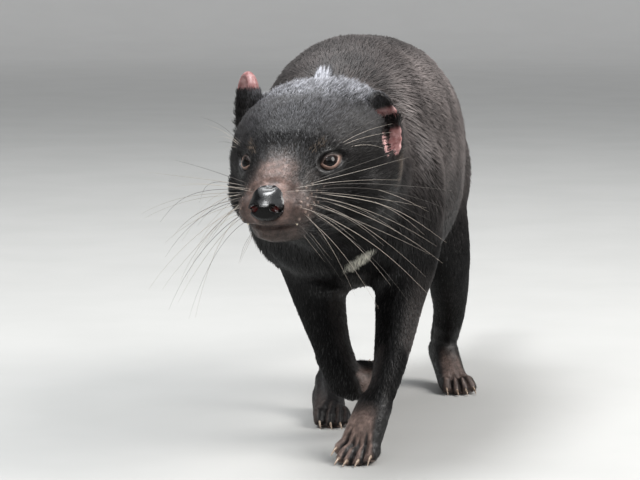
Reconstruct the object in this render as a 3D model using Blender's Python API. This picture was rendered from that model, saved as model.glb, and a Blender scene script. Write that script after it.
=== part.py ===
"""A life-size Tasmanian devil in mid-walk, as named solids: one for each part of its body.

The animal faces -Y with +Z up, and its own left side is +X. All sizes are in metres and are those of
the coat's outer surface. It stands on its left forefoot and both hind feet, and its right forefoot is
lifted with the wrist bent.
"""

import math

import bmesh
import bpy
import numpy as np
from mathutils import Matrix, Vector

MM = 0.001
GAP = 0.3 * MM  # left between solids that touch

# Driving sizes of the animal
SHOULDER_HALF_WIDTH = 70 * MM
RIB_HALF_WIDTH = 87 * MM
HIP_HALF_WIDTH = 79 * MM
BACK_HEIGHT = 324 * MM
BELLY_HEIGHT = 116 * MM
HEAD_HALF_WIDTH = 64 * MM
TAIL_LENGTH = 245 * MM
EYE_RADIUS = 8.2 * MM
MUZZLE_LENGTH = 55 * MM  # from the eyes forward to the front of the nose
CLAW_LENGTH = 12 * MM

# Where the head is carried: the point midway between the eyes, and its turns
HEAD_PLACE = Vector((-26 * MM, -270 * MM, 240 * MM))
HEAD_YAW = math.radians(11)  # to the animal's right
HEAD_PITCH = math.radians(2)  # nose down
HEAD_ROLL = math.radians(-2)

# How finely the fused flesh is sampled, and how many triangles it keeps
TRUNK_VOXEL = 4 * MM
BODY_VOXEL = 2 * MM
BODY_TRIANGLES = 5300

BLACK_COAT = (0.012, 0.011, 0.012)
BARE_PINK = (0.20, 0.11, 0.095)
EAR_PINK = (0.42, 0.19, 0.16)
NOSE_BLACK = (0.010, 0.009, 0.010)
EYE_BROWN = (0.020, 0.011, 0.006)
CLAW_HORN = (0.46, 0.36, 0.27)
TOOTH_IVORY = (0.80, 0.72, 0.56)
WHISKER_GREY = (0.30, 0.27, 0.25)


def clear_scene():
    """Remove whatever the scene holds."""
    for old in list(bpy.data.objects):
        bpy.data.objects.remove(old)


def material(name, colour, roughness):
    """A plain Principled material in one colour."""
    made = bpy.data.materials.new(name)
    made.use_nodes = True
    shader = made.node_tree.nodes["Principled BSDF"]
    shader.inputs["Base Color"].default_value = (*colour, 1)
    shader.inputs["Roughness"].default_value = roughness
    shader.inputs["Metallic"].default_value = 0
    made.diffuse_color = (*colour, 1)
    return made


def object_of(name, shape):
    """Link a new object that holds the bmesh, with its faces pointing out."""
    bmesh.ops.recalc_face_normals(shape, faces=shape.faces)
    mesh = bpy.data.meshes.new(name)
    shape.to_mesh(mesh)
    shape.free()
    made = bpy.data.objects.new(name, mesh)
    bpy.context.scene.collection.objects.link(made)
    return made


def apply_modifiers(target):
    """Replace the object's mesh by the one its modifiers give."""
    bpy.context.view_layer.update()
    graph = bpy.context.evaluated_depsgraph_get()
    mesh = bpy.data.meshes.new_from_object(target.evaluated_get(graph))
    old = target.data
    target.modifiers.clear()
    target.data = mesh
    bpy.data.meshes.remove(old)
    return target


def head_frame():
    """The head's own axes as a matrix: x to its left, y back, z up, with its origin between the eyes."""
    yaw = Matrix.Rotation(-HEAD_YAW, 4, "Z")
    pitch = Matrix.Rotation(HEAD_PITCH, 4, "X")
    roll = Matrix.Rotation(HEAD_ROLL, 4, "Y")
    return Matrix.Translation(HEAD_PLACE) @ yaw @ pitch @ roll


def smooth_rows(rows, steps):
    """Rows of numbers joined by a smooth spline, with steps new rows between each pair."""
    rows = np.array(rows, float)
    before = np.vstack([2 * rows[0] - rows[1], rows, 2 * rows[-1] - rows[-2]])
    made = []
    for a, b, c, d in zip(before, before[1:], before[2:], before[3:]):
        for t in np.arange(steps) / steps:
            bend = (2 * a - 5 * b + 4 * c - d) * t**2 + (3 * b - a - 3 * c + d) * t**3
            made.append(0.5 * (2 * b + (c - a) * t + bend))
    made.append(rows[-1])
    return np.array(made)


def loft(rows, side=(1, 0, 0), steps=5, sides=28, power=2.1, dome=0.8, caps=3):
    """A closed bmesh skinned over rows of (x, y, z, half width, rise, drop), with domed ends of caps rings.

    The rise and the drop are the distances from the row's widest level to its top and its bottom.
    """
    rows = smooth_rows(rows, steps)
    centres = rows[:, :3]
    along = np.gradient(centres, axis=0)
    along /= np.linalg.norm(along, axis=1)[:, None]
    rings = []
    for end, sign in ((0, -1), (len(rows) - 1, 1)):
        reach = dome * min(rows[end, 3], (rows[end, 4] + rows[end, 5]) / 2)
        turns = np.radians(np.linspace(0, 80, caps + 1)[1:]) if caps > 1 else (0.95,)
        out = along[end] * sign * reach
        ends = [(centres[end] + out * math.sin(a), along[end], rows[end, 3:] * math.cos(a)) for a in turns]
        if sign < 0:
            rings = ends[::-1] + [(c, a, s) for c, a, s in zip(centres, along, rows[:, 3:])]
        else:
            rings += ends
    shape = bmesh.new()
    loops = []
    last_up = np.array((0.02, -0.3, 1.0))
    for centre, tangent, (half_width, rise, drop) in rings:
        across = np.array(side, float)
        across -= tangent * (across @ tangent)
        across /= np.linalg.norm(across)
        up = np.cross(tangent, across)
        up = up if up @ last_up > 0 else -up
        last_up = up
        loop = []
        for turn in np.arange(sides) * math.tau / sides:
            c, s = math.cos(turn), math.sin(turn)
            reach = rise if s > 0 else drop
            place = (
                centre
                + across * half_width * math.copysign(abs(c) ** (2 / power), c)
                + up * reach * math.copysign(abs(s) ** (2 / power), s)
            )
            loop.append(shape.verts.new(place))
        loops.append(loop)
    for one, two in zip(loops, loops[1:]):
        for i in range(sides):
            shape.faces.new((one[i], one[(i + 1) % sides], two[(i + 1) % sides], two[i]))
    shape.faces.new(loops[0][::-1])
    shape.faces.new(loops[-1])
    return shape


def limb(points, steps=5, sides=20, grow=0.0, dome=0.8, caps=3):
    """A round-sectioned loft over (x, y, z, half width, half depth), optionally grown outwards."""
    rows = [(x, y, z, w + grow, d + grow, d + grow) for x, y, z, w, d in points]
    return loft(rows, steps=steps, sides=sides, power=2.0, dome=dome, caps=caps)


def ellipsoid(centre, half_sizes, turn=None, rings=12, segments=24):
    """A closed bmesh ellipsoid, turned by a matrix about its own centre."""
    shape = bmesh.new()
    bmesh.ops.create_uvsphere(shape, u_segments=segments, v_segments=rings, radius=1)
    bmesh.ops.scale(shape, vec=half_sizes, verts=shape.verts)
    if turn is not None:
        bmesh.ops.transform(shape, matrix=turn, verts=shape.verts)
    bmesh.ops.translate(shape, vec=centre, verts=shape.verts)
    return shape


def box(centre, sizes, frame=None):
    """A closed bmesh box of the given full sizes, placed in a frame."""
    shape = bmesh.new()
    bmesh.ops.create_cube(shape, size=1)
    bmesh.ops.scale(shape, vec=sizes, verts=shape.verts)
    bmesh.ops.translate(shape, vec=centre, verts=shape.verts)
    if frame is not None:
        bmesh.ops.transform(shape, matrix=frame, verts=shape.verts)
    return shape


def in_frame(shape, frame):
    """The bmesh carried into a frame."""
    bmesh.ops.transform(shape, matrix=frame, verts=shape.verts)
    return shape


def joined(name, shapes):
    """One object that holds all the bmeshes as they are, still overlapping."""
    whole = bmesh.new()
    for shape in shapes:
        bmesh.ops.recalc_face_normals(shape, faces=shape.faces)
        mesh = bpy.data.meshes.new("piece")
        shape.to_mesh(mesh)
        shape.free()
        whole.from_mesh(mesh)
        bpy.data.meshes.remove(mesh)
    mesh = bpy.data.meshes.new(name)
    whole.to_mesh(mesh)
    whole.free()
    made = bpy.data.objects.new(name, mesh)
    bpy.context.scene.collection.objects.link(made)
    return made


def fuse(target, voxel, smoothing):
    """Fuse the object's overlapping pieces into one closed surface and soften where they meet."""
    remesh = target.modifiers.new("fuse", "REMESH")
    remesh.mode = "VOXEL"
    remesh.voxel_size = voxel
    soften = target.modifiers.new("soften", "SMOOTH")
    soften.factor = 0.5
    soften.iterations = smoothing
    return apply_modifiers(target)


def thin_out(target, triangles):
    """Bring the object down to about this many triangles."""
    shape = bmesh.new()
    shape.from_mesh(target.data)
    bmesh.ops.triangulate(shape, faces=shape.faces)
    shape.to_mesh(target.data)
    count = len(shape.faces)
    shape.free()
    reduce = target.modifiers.new("reduce", "DECIMATE")
    reduce.ratio = min(1.0, triangles / count)
    return apply_modifiers(target)


def largest_body(target):
    """Keep only the object's largest closed surface."""
    shape = bmesh.new()
    shape.from_mesh(target.data)
    left = set(shape.verts)
    bodies = []
    while left:
        front = [left.pop()]
        found = set(front)
        while front:
            vert = front.pop()
            for edge in vert.link_edges:
                other = edge.other_vert(vert)
                if other in left:
                    left.discard(other)
                    found.add(other)
                    front.append(other)
        bodies.append(found)
    for scrap in sorted(bodies, key=len)[:-1]:
        bmesh.ops.delete(shape, geom=list(scrap), context="VERTS")
    shape.to_mesh(target.data)
    shape.free()
    return target


def combine(target, shape, operation, solver="EXACT"):
    """Join, cut or intersect the object with a bmesh, which is used up."""
    tool = object_of("tool", shape)
    change = target.modifiers.new("change", "BOOLEAN")
    change.operation = operation
    change.object = tool
    change.solver = solver
    apply_modifiers(target)
    bpy.data.objects.remove(tool)
    return target


def unite(target, shapes, solver="EXACT"):
    """Join a collection of closed shapes onto the object in one union."""
    group = bpy.data.collections.new("pieces")
    bpy.context.scene.collection.children.link(group)
    for shape in shapes:
        piece = object_of("piece", shape)
        bpy.context.scene.collection.objects.unlink(piece)
        group.objects.link(piece)
    change = target.modifiers.new("unite", "BOOLEAN")
    change.operation = "UNION"
    change.operand_type = "COLLECTION"
    change.collection = group
    change.solver = solver
    apply_modifiers(target)
    for piece in list(group.objects):
        bpy.data.objects.remove(piece)
    bpy.data.collections.remove(group)
    return target


def copy_of(target, name):
    """A second object with its own copy of the mesh."""
    made = bpy.data.objects.new(name, target.data.copy())
    bpy.context.scene.collection.objects.link(made)
    return made


def pushed_out(mesh, grow=0.0):
    """The mesh as a bmesh, pushed out along its normals."""
    shape = bmesh.new()
    shape.from_mesh(mesh)
    shape.normal_update()
    moves = [(vert, vert.normal * grow) for vert in shape.verts]
    for vert, move in moves:
        vert.co += move
    return shape


def carve(body, name, cutter):
    """Part a node from the body: the cutter takes it out, and a slightly larger one leaves the gap.

    The cutter is a function of how much it is grown.
    """
    node = combine(copy_of(body, name), cutter(0.0), "INTERSECT")
    combine(body, cutter(GAP), "DIFFERENCE")
    return largest_body(node)


# The trunk, neck and tail

def trunk_rows():
    """Sections from the chest to the rump: (x, y, z of the widest level, half width, rise, drop)."""
    sections = (
        # y, top, bottom, half width, widest level
        (-0.172, 0.268, 0.170, 0.74 * SHOULDER_HALF_WIDTH, 0.210),
        (-0.140, 0.291, 0.136, 0.98 * SHOULDER_HALF_WIDTH, 0.200),
        (-0.090, 0.308, 0.120, 1.10 * SHOULDER_HALF_WIDTH, 0.200),
        (-0.030, 0.320, BELLY_HEIGHT, 0.98 * RIB_HALF_WIDTH, 0.204),
        (0.030, BACK_HEIGHT, BELLY_HEIGHT, RIB_HALF_WIDTH, 0.208),
        (0.090, 0.319, 0.122, 1.05 * HIP_HALF_WIDTH, 0.215),
        (0.145, 0.300, 0.136, 0.97 * HIP_HALF_WIDTH, 0.215),
        (0.190, 0.266, 0.156, 0.76 * HIP_HALF_WIDTH, 0.208),
        (0.218, 0.236, 0.174, 0.46 * HIP_HALF_WIDTH, 0.204),
    )
    sway = 6 * MM  # the ribs lean this far to the right in this stride
    rows = []
    for y, top, bottom, half_width, level in sections:
        x = -sway * math.cos(y / 0.2)
        rows.append((x, y, level, half_width, top - level, level - bottom))
    return rows


def neck_rows():
    """From inside the shoulders to inside the skull."""
    return (
        (-0.004, -0.120, 0.212, 0.062, 0.084, 0.066),
        (-0.006, -0.160, 0.220, 0.060, 0.077, 0.064),
        (-0.011, -0.195, 0.228, 0.058, 0.068, 0.058),
        (-0.017, -0.225, 0.232, 0.053, 0.058, 0.050),
    )


def tail_points(grow=0.0):
    """Half-sizes along the tail, thick at the root as a well-fed devil's is."""
    root = Vector((0.004, 0.200, 0.205))
    shares = (0.0, 0.16, 0.36, 0.58, 0.80, 1.0)
    half_sizes = (27, 23, 19.5, 15.5, 11.5, 6.5)
    rows = []
    for share, half_size in zip(shares, half_sizes):
        reach = share * TAIL_LENGTH
        x = root.x + 0.040 * share
        y = root.y + reach * 0.955
        z = root.z - 0.052 * share - 0.020 * share**2
        rows.append((x, y, z, half_size * MM + grow, half_size * MM + grow))
    return rows


# Legs: each is a list of (x, y, z, half width, half depth) from the trunk down to the foot

LEGS = {
    "foreleg_left": (
        (0.040, -0.078, 0.215, 0.026, 0.040),
        (0.047, -0.092, 0.180, 0.029, 0.040),
        (0.047, -0.108, 0.148, 0.0255, 0.032),
        (0.0430, -0.124, 0.120, 0.0215, 0.0235),
        (0.0400, -0.146, 0.086, 0.0168, 0.0180),
        (0.0362, -0.165, 0.060, 0.0130, 0.0145),
        (0.0310, -0.175, 0.045, 0.0125, 0.0130),
    ),
    "foreleg_right": (
        (-0.040, -0.066, 0.215, 0.026, 0.040),
        (-0.043, -0.074, 0.180, 0.030, 0.040),
        (-0.0375, -0.082, 0.148, 0.0275, 0.033),
        (-0.0265, -0.094, 0.114, 0.0230, 0.0250),
        (-0.0155, -0.108, 0.080, 0.0172, 0.0185),
        (-0.0060, -0.118, 0.058, 0.0160, 0.0160),
        (0.0000, -0.122, 0.047, 0.0160, 0.0140),
    ),
    "hindleg_left": (
        (0.034, 0.128, 0.205, 0.034, 0.048),
        (0.046, 0.118, 0.170, 0.031, 0.046),
        (0.0570, 0.112, 0.132, 0.0240, 0.038),
        (0.0600, 0.130, 0.098, 0.0190, 0.0270),
        (0.0580, 0.152, 0.066, 0.0150, 0.0190),
        (0.0520, 0.168, 0.042, 0.0138, 0.0150),
    ),
    "hindleg_right": (
        (-0.040, 0.120, 0.205, 0.034, 0.048),
        (-0.050, 0.098, 0.172, 0.031, 0.046),
        (-0.053, 0.070, 0.140, 0.0250, 0.040),
        (-0.0460, 0.052, 0.106, 0.0195, 0.0290),
        (-0.0370, 0.036, 0.074, 0.0150, 0.0200),
        (-0.0325, 0.018, 0.044, 0.0138, 0.0155),
    ),
}


class Paw:
    """A paw's frame and sizes: where its wrist, knuckles and toe tips are, and how its toes spread."""

    def __init__(self, wrist, knuckles, toes, across, half_width, toe_half_width, digits, pad=None):
        self.wrist = Vector(wrist)
        self.knuckles = Vector(knuckles)
        self.toes = Vector(toes)
        self.across = Vector(across).normalized()
        self.half_width = half_width
        self.toe_half_width = toe_half_width
        self.digits = digits  # for each toe its share of the half width, reach beyond the toe line and lift
        self.pad = pad  # for a planted paw, the share of the way back to the wrist where its pad lies flat

    def forward(self):
        return (self.toes - self.knuckles).normalized()

    def dorsal(self):
        """Away from the palm."""
        return self.forward().cross(self.across).normalized()

    def palm(self):
        """The palm, from the wrist to the knuckles, flattened from top to bottom."""
        middle = self.wrist.lerp(self.knuckles, 0.5) + self.dorsal() * 1.5 * MM
        if self.pad is not None:
            middle = self.knuckles.lerp(self.wrist, self.pad)
            middle.z = 10.5 * MM
        wide = self.half_width
        rows = (
            (*self.wrist, 0.82 * wide, 0.0120, 0.0120),
            (*middle, 0.94 * wide, 0.0108, 0.0115),
            (*self.knuckles, 1.00 * wide, 0.0078, 0.0092),
        )
        return loft(rows, side=self.across, power=2.3)

    def toe_path(self, share, reach, lift):
        """Root, joint and tip of one toe."""
        spread = self.across * share * self.half_width
        root = self.knuckles + spread * 0.78 + self.forward() * min(0.0, reach)
        tip = self.toes + spread * 0.98 + self.forward() * reach + self.dorsal() * lift
        joint = root.lerp(tip, 0.52) + self.dorsal() * 3.0 * MM
        return root, joint, tip

    def toes_shapes(self):
        made = []
        for digit in self.digits:
            root, joint, tip = self.toe_path(*digit)
            thick = self.toe_half_width
            rows = (
                (*root, thick * 0.9, thick * 1.1, thick * 1.1),
                (*joint, thick * 0.92, thick * 1.05, thick * 1.05),
                (*tip, thick * 0.92, thick * 0.92, thick * 0.98),
            )
            made.append(loft(rows, side=self.across, sides=14, power=2.0))
        return made

    def claw(self, digit, grow=0.0):
        """One bent, pointed claw whose root is sunk in the toe's tip."""
        _, joint, tip = self.toe_path(*digit)
        forward = ((tip - joint).normalized() + self.forward()).normalized()
        dorsal = forward.cross(self.across).normalized()
        root = tip + dorsal * 1.2 * MM
        floor = 0.6 * MM
        rows = []
        for part in (0.0, 0.5, 1.0):
            along = CLAW_LENGTH * part
            bend = dorsal * (4.0 * MM) * part * (1 - part) * 1.6 - dorsal * 2.0 * MM * part**2
            thick = (2.1 - 1.6 * part) * MM + grow
            place = root + forward * along + bend
            place.z = max(place.z, thick + floor)
            rows.append((*place, 0.72 * thick, thick, thick))
        return loft(rows, side=self.across, steps=1, sides=6, power=2.0, dome=0.6, caps=1)


def planted(
    wrist, toe_line, heading, knuckle_back, half_width, toe_half_width, digits, knuckle_height, pad
):
    """A paw flat on the floor that points the given angle away from straight ahead, to the right."""
    forward = Vector((-math.sin(heading), -math.cos(heading), 0))
    left = Vector((math.cos(heading), -math.sin(heading), 0))
    toes = Vector(toe_line) + Vector((0, 0, toe_half_width - 1.4 * MM))
    knuckles = toes - forward * knuckle_back + Vector((0, 0, knuckle_height))
    return Paw(wrist, knuckles, toes, left, half_width, toe_half_width, digits, pad)


# Digits of a left forefoot and a left hind foot, from the inner side outwards: share, reach and lift
FORE_DIGITS = (
    (-0.86, -12 * MM, 4 * MM),
    (-0.48, -2 * MM, 0.0),
    (0.0, 1.5 * MM, 0.0),
    (0.50, -1 * MM, 0.0),
    (0.93, -8 * MM, 1 * MM),
)
HIND_DIGITS = ((-0.85, -4 * MM, 0.0), (-0.28, 1 * MM, 0.0), (0.28, 1 * MM, 0.0), (0.85, -4 * MM, 0.0))


def mirrored(digits):
    return tuple((-share, reach, lift) for share, reach, lift in digits)


PAWS = {
    "forefoot_left": planted(
        wrist=(0.0295, -0.1765, 0.0435),
        toe_line=(0.0130, -0.2165, 0),
        heading=math.radians(18),
        knuckle_back=15 * MM,
        half_width=17.2 * MM,
        toe_half_width=5.2 * MM,
        digits=FORE_DIGITS,
        knuckle_height=2.4 * MM,
        pad=None,
    ),
    "forefoot_right": Paw(
        wrist=(0.0020, -0.1210, 0.0445),
        knuckles=(0.0145, -0.1010, 0.0560),
        toes=(0.0240, -0.0850, 0.0565),
        across=(0.87, -0.47, -0.12),
        half_width=16.0 * MM,
        toe_half_width=5.0 * MM,
        digits=mirrored(FORE_DIGITS),
    ),
    "hindfoot_left": planted(
        wrist=(0.0510, 0.170, 0.038),
        toe_line=(0.0720, 0.1080, 0),
        heading=math.radians(-19),
        knuckle_back=19 * MM,
        half_width=14.5 * MM,
        toe_half_width=5.4 * MM,
        digits=HIND_DIGITS,
        knuckle_height=3.8 * MM,
        pad=0.30,
    ),
    "hindfoot_right": planted(
        wrist=(-0.0330, 0.014, 0.030),
        toe_line=(-0.0185, -0.0640, 0),
        heading=math.radians(-18),
        knuckle_back=19 * MM,
        half_width=14.5 * MM,
        toe_half_width=5.4 * MM,
        digits=mirrored(HIND_DIGITS),
        knuckle_height=3.8 * MM,
        pad=0.35,
    ),
}
HEELS = {
    "hindfoot_left": (0.0475, 0.1740, 0.0320),
    "hindfoot_right": (-0.0370, 0.0130, 0.0130),
}


def heel_shape(name):
    """The hind foot's sole, from the rounded heel under the ankle to the knuckles."""
    paw = PAWS[name]
    heel = Vector(HEELS[name])
    middle = heel.lerp(paw.knuckles, 0.5)
    rows = (
        (*heel, 0.0110, 0.0120, 0.0130),
        (middle.x, middle.y, middle.z * 0.94, 0.0125, 0.0115, 0.0130),
        (*paw.knuckles, 0.0140, 0.0085, 0.0110),
    )
    return loft(rows, side=paw.across, power=2.2)


# The head, in its own frame: x to its left, y back, z up, from between the eyes

def skull_rows():
    """Sections of the skull and muzzle from the nose back: (0, y, widest level, half width, rise, drop)."""
    wide = HEAD_HALF_WIDTH
    nose = -MUZZLE_LENGTH
    sections = (
        # y, top, bottom, half width, widest level
        (nose + 0.011, -0.014, -0.043, 0.25 * wide, -0.031),
        (nose + 0.018, -0.009, -0.048, 0.36 * wide, -0.032),
        (nose + 0.028, -0.003, -0.051, 0.43 * wide, -0.031),
        (nose + 0.041, 0.006, -0.053, 0.49 * wide, -0.028),
        (0.001, 0.019, -0.055, 0.61 * wide, -0.024),
        (0.018, 0.034, -0.058, 0.78 * wide, -0.018),
        (0.038, 0.045, -0.061, 0.93 * wide, -0.013),
        (0.062, 0.0515, -0.061, 1.00 * wide, -0.007),
        (0.088, 0.052, -0.056, 0.97 * wide, -0.004),
        (0.110, 0.047, -0.048, 0.88 * wide, -0.002),
    )
    return [(0, y, level, half, top - level, level - bottom) for y, top, bottom, half, level in sections]


def head_shapes():
    """Every mass of the head, in the body's frame."""
    frame = head_frame()
    chin = -MUZZLE_LENGTH + 0.014
    jaw = (
        (0, chin, -0.0480, 0.0125, 0.006, 0.0070),
        (0, chin + 0.012, -0.0485, 0.0205, 0.008, 0.0080),
        (0, chin + 0.034, -0.0485, 0.0310, 0.011, 0.0098),
        (0, chin + 0.056, -0.0460, 0.0420, 0.016, 0.0140),
        (0, chin + 0.085, -0.0400, 0.0520, 0.018, 0.0200),
    )
    made = [loft(skull_rows(), power=2.35), loft(jaw, power=2.2)]
    for side in (-1, 1):
        cheek = ellipsoid((side * 0.0395, 0.043, -0.026), (0.0215, 0.036, 0.028))
        pad = ellipsoid((side * 0.0165, -0.0330, -0.0320), (0.0115, 0.0150, 0.0130))
        made += [cheek, pad]
    return [in_frame(shape, frame) for shape in made]


def flesh():
    """The whole animal without ears, eyes, nose and claws, as one closed surface."""
    trunk = [loft(trunk_rows(), power=2.3), loft(neck_rows()), limb(tail_points())]
    trunk += [limb(leg) for leg in LEGS.values()]
    trunk.append(ellipsoid((0.040, 0.078, 0.158), (0.024, 0.046, 0.034)))  # the fold of the left flank
    trunk.append(ellipsoid((-0.046, 0.058, 0.158), (0.024, 0.046, 0.034)))  # and of the right
    trunk.append(ellipsoid((0.046, -0.108, 0.200), (0.032, 0.046, 0.062)))  # shoulders
    trunk.append(ellipsoid((-0.054, -0.104, 0.200), (0.032, 0.046, 0.062)))
    trunk.append(ellipsoid((0.048, 0.126, 0.196), (0.032, 0.052, 0.062)))  # haunches
    trunk.append(ellipsoid((-0.054, 0.122, 0.196), (0.032, 0.052, 0.062)))
    body = fuse(joined("trunk", trunk), TRUNK_VOXEL, 10)
    shapes = [pushed_out(body.data)] + head_shapes()
    bpy.data.objects.remove(body)
    for name, paw in PAWS.items():
        shapes.append(paw.palm())
        shapes += paw.toes_shapes()
        if name in HEELS:
            shapes.append(heel_shape(name))
    body = fuse(joined("torso", shapes), BODY_VOXEL, 3)
    thin_out(body, BODY_TRIANGLES)
    floor = box((0, 0, -0.05), (2, 2, 0.1))
    return largest_body(combine(body, floor, "DIFFERENCE"))


# Cutters that part the flesh into nodes; each is a function of how far it is grown

def prism(outline, axis, low, high, grow=0.0, frame=None):
    """A convex outline pulled along an axis, with every side moved out by grow.

    The outline's points turn anticlockwise when the axis points at the viewer.
    """
    points = [Vector(p) for p in outline]
    moved = []
    for before, here, after in zip(points[-1:] + points[:-1], points, points[1:] + points[:1]):
        one = (here - before).normalized()
        two = (after - here).normalized()
        out_one = Vector((one.y, -one.x))
        out_two = Vector((two.y, -two.x))
        corner = (out_one + out_two) / (1 + out_one.dot(out_two))
        moved.append(here + corner * grow)
    shape = bmesh.new()
    orders = {"X": (2, 0, 1), "Y": (1, 2, 0), "Z": (0, 1, 2)}
    rings = []
    for level in (low - grow, high + grow):
        ring = []
        for point in moved:
            local = (point.x, point.y, level)
            ring.append(shape.verts.new([local[i] for i in orders[axis]]))
        rings.append(ring)
    count = len(points)
    shape.faces.new(rings[0][::-1])
    shape.faces.new(rings[1])
    for i in range(count):
        shape.faces.new((rings[0][i], rings[0][(i + 1) % count], rings[1][(i + 1) % count], rings[1][i]))
    if frame is not None:
        bmesh.ops.transform(shape, matrix=frame, verts=shape.verts)
    return shape


def head_cutter(grow):
    """Everything in front of a plane behind the ears."""
    back = 0.088 + grow
    return box((0, back - 0.12, 0.005), (0.30, 0.24, 0.168 + 2 * grow), head_frame())


def jaw_cutter(grow):
    """Below the line of the mouth, back to the throat."""
    corner = (-0.0040, -0.0392)
    line = ((-0.0300, -0.0426), (-0.0900, -0.0428))
    outline = (*line, (-0.0900, -0.1000), (0.0420, -0.1000), corner)
    return prism(outline, "X", -0.1, 0.1, grow, head_frame())


def neck_cutter(grow):
    """The neck, from behind the ears back to the withers."""
    frame = Matrix.Translation((0, -0.146, 0.225)) @ Matrix.Rotation(math.radians(-16), 4, "X")
    return box((0, -0.06 + grow, 0.0), (0.30, 0.12, 0.150 + 2 * grow), frame)


def leg_cutter(points):
    """A fat sleeve round a leg from its second station down, which ends inside the body in a dome."""
    wider = 1.15
    rows = [(x, y, z, w * wider + 4 * MM, d * wider + 4 * MM) for x, y, z, w, d in points[1:]]
    foot = Vector(rows[-1][:3])
    lower = Vector(rows[-2][:3])
    rows.append((*(foot + (foot - lower) * 1.2), 0.024, 0.030))
    sleeve = fuse(object_of("sleeve", limb(rows)), 5 * MM, 2)
    thin_out(sleeve, 500)
    mesh = sleeve.data
    bpy.data.objects.remove(sleeve)

    return lambda grow: pushed_out(mesh, grow)


def foot_cutter(paw, below):
    """A box round a paw that ends on a plane across its wrist, and reaches this far on the palm's side."""

    def made(grow):
        forward = (paw.knuckles - paw.wrist).normalized()
        up = forward.cross(paw.across).normalized()
        across = up.cross(forward)
        frame = Matrix(((*across, 0), (*(-forward), 0), (*up, 0), (0, 0, 0, 1))).transposed()
        frame.translation = paw.wrist
        high = 0.030
        sizes = (0.060 + 2 * grow, 0.11 + grow, high + below + 2 * grow)
        return box((0, -0.055 + grow / 2, (high - below) / 2), sizes, frame)

    return made


def tail_cutter(grow):
    """Everything behind a plane across the root of the tail."""
    return box((0.03, 0.3725 - grow / 2, 0.17), (0.2 + 2 * grow, 0.295 + grow, 0.2 + 2 * grow))


# Eyes, ears, nose, claws, teeth and whiskers

# Each eye's centre in the head's frame and the direction it looks in
EYES = {
    "eye_left": (Vector((0.0306, 0.0007, -0.0018)), Vector((0.52, -0.85, 0.10))),
    "eye_right": (Vector((-0.0286, 0.0004, -0.0018)), Vector((-0.52, -0.85, 0.10))),
}

# Each ear's centre in the body's frame, the way up along it, and the way it opens
EARS = {
    "ear_left": (
        Vector((0.0378, -0.2125, 0.2610)),
        Vector((-0.26, -0.05, 1.0)),
        Vector((0.70, -0.70, 0.10)),
    ),
    "ear_right": (
        Vector((-0.0682, -0.1985, 0.2745)),
        Vector((-0.06, 0.05, 1.0)),
        Vector((-0.86, -0.51, 0.05)),
    ),
}


def axes(along, up):
    """A turn whose -y looks along one direction and whose z is as near as it can be to another."""
    back = -Vector(along).normalized()
    across = back.cross(Vector(up)).normalized()
    high = across.cross(back)
    return Matrix(((*across, 0), (*back, 0), (*high, 0), (0, 0, 0, 1))).transposed()


def eye_ball(centre, look, grow=0.0, segments=16, rings=9):
    """The eyeball, with the clear front standing slightly proud."""
    turn = axes(look, (0, 0, 1))
    size = EYE_RADIUS + grow
    return ellipsoid(centre, (size, size * 1.02, size), turn, rings, segments)


def add_eyes(head, made):
    """Lids over each eyeball, the opening between them, and the eyeball itself."""
    frame = head_frame()
    lid_sizes = (EYE_RADIUS + 2.4 * MM, EYE_RADIUS + 1.5 * MM, EYE_RADIUS + 1.6 * MM)
    for name, (centre, look) in EYES.items():
        turn = axes(look, (0.0, 0.1, 1))
        lids = ellipsoid(centre, lid_sizes, turn, 11, 20)
        unite(head, [in_frame(lids, frame)])
        socket = in_frame(eye_ball(centre, look, GAP), frame)
        combine(head, socket, "DIFFERENCE")
        side = 1 if centre.x > 0 else -1
        slant = turn @ Matrix.Rotation(side * math.radians(-14), 4, "Y")
        place = centre + look.normalized() * 9 * MM + Vector((0, 0, -0.2 * MM))
        opening = ellipsoid(place, (7.2 * MM, 7.5 * MM, 5.3 * MM), slant, 9, 18)
        combine(head, in_frame(opening, frame), "DIFFERENCE")
        made[name] = object_of(name, in_frame(eye_ball(centre, look), frame))


def ear_outside(centre, up, opens, grow=0.0):
    turn = axes(opens, up)
    return ellipsoid(centre, (16.5 * MM + grow, 9.0 * MM + grow, 28.5 * MM + grow), turn, 11, 18)


def add_ears(head, neck, made):
    """Each ear is a cup: an outer shell, hollowed from the front, with its foot sunk in the head."""
    for name, (centre, up, opens) in EARS.items():
        ear = object_of(name, ear_outside(centre, up, opens))
        turn = axes(opens, up)
        hollow = ellipsoid(
            centre + opens.normalized() * 7.5 * MM + up.normalized() * 1.0 * MM,
            (13.7 * MM, 13.6 * MM, 25.4 * MM), turn, 11, 18,
        )
        combine(ear, hollow, "DIFFERENCE")
        for flesh_part in (head, neck):
            combine(flesh_part, ear_outside(centre, up, opens, GAP), "DIFFERENCE")
        made[name] = ear


NOSE_PLACE = Vector((0, -MUZZLE_LENGTH + 3.5 * MM, -26.6 * MM))


def nose_shape(grow=0.0):
    """The nose pad: a broad, rounded wedge that narrows towards the lip."""
    stations = (
        # forward, down, half width, rise, drop, all in millimetres
        (-5.0, 0.0, 10.5, 8.5, 9.5),
        (0.5, 0.0, 13.9, 10.6, 11.4),
        (4.5, 0.4, 13.2, 9.4, 10.4),
    )
    rows = []
    for forward, down, *sizes in stations:
        place = (0, NOSE_PLACE.y - forward * MM, NOSE_PLACE.z - down * MM)
        rows.append((*place, *(size * MM + grow for size in sizes)))
    return loft(rows, steps=1, sides=18, power=2.2, dome=0.42, caps=2)


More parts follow.
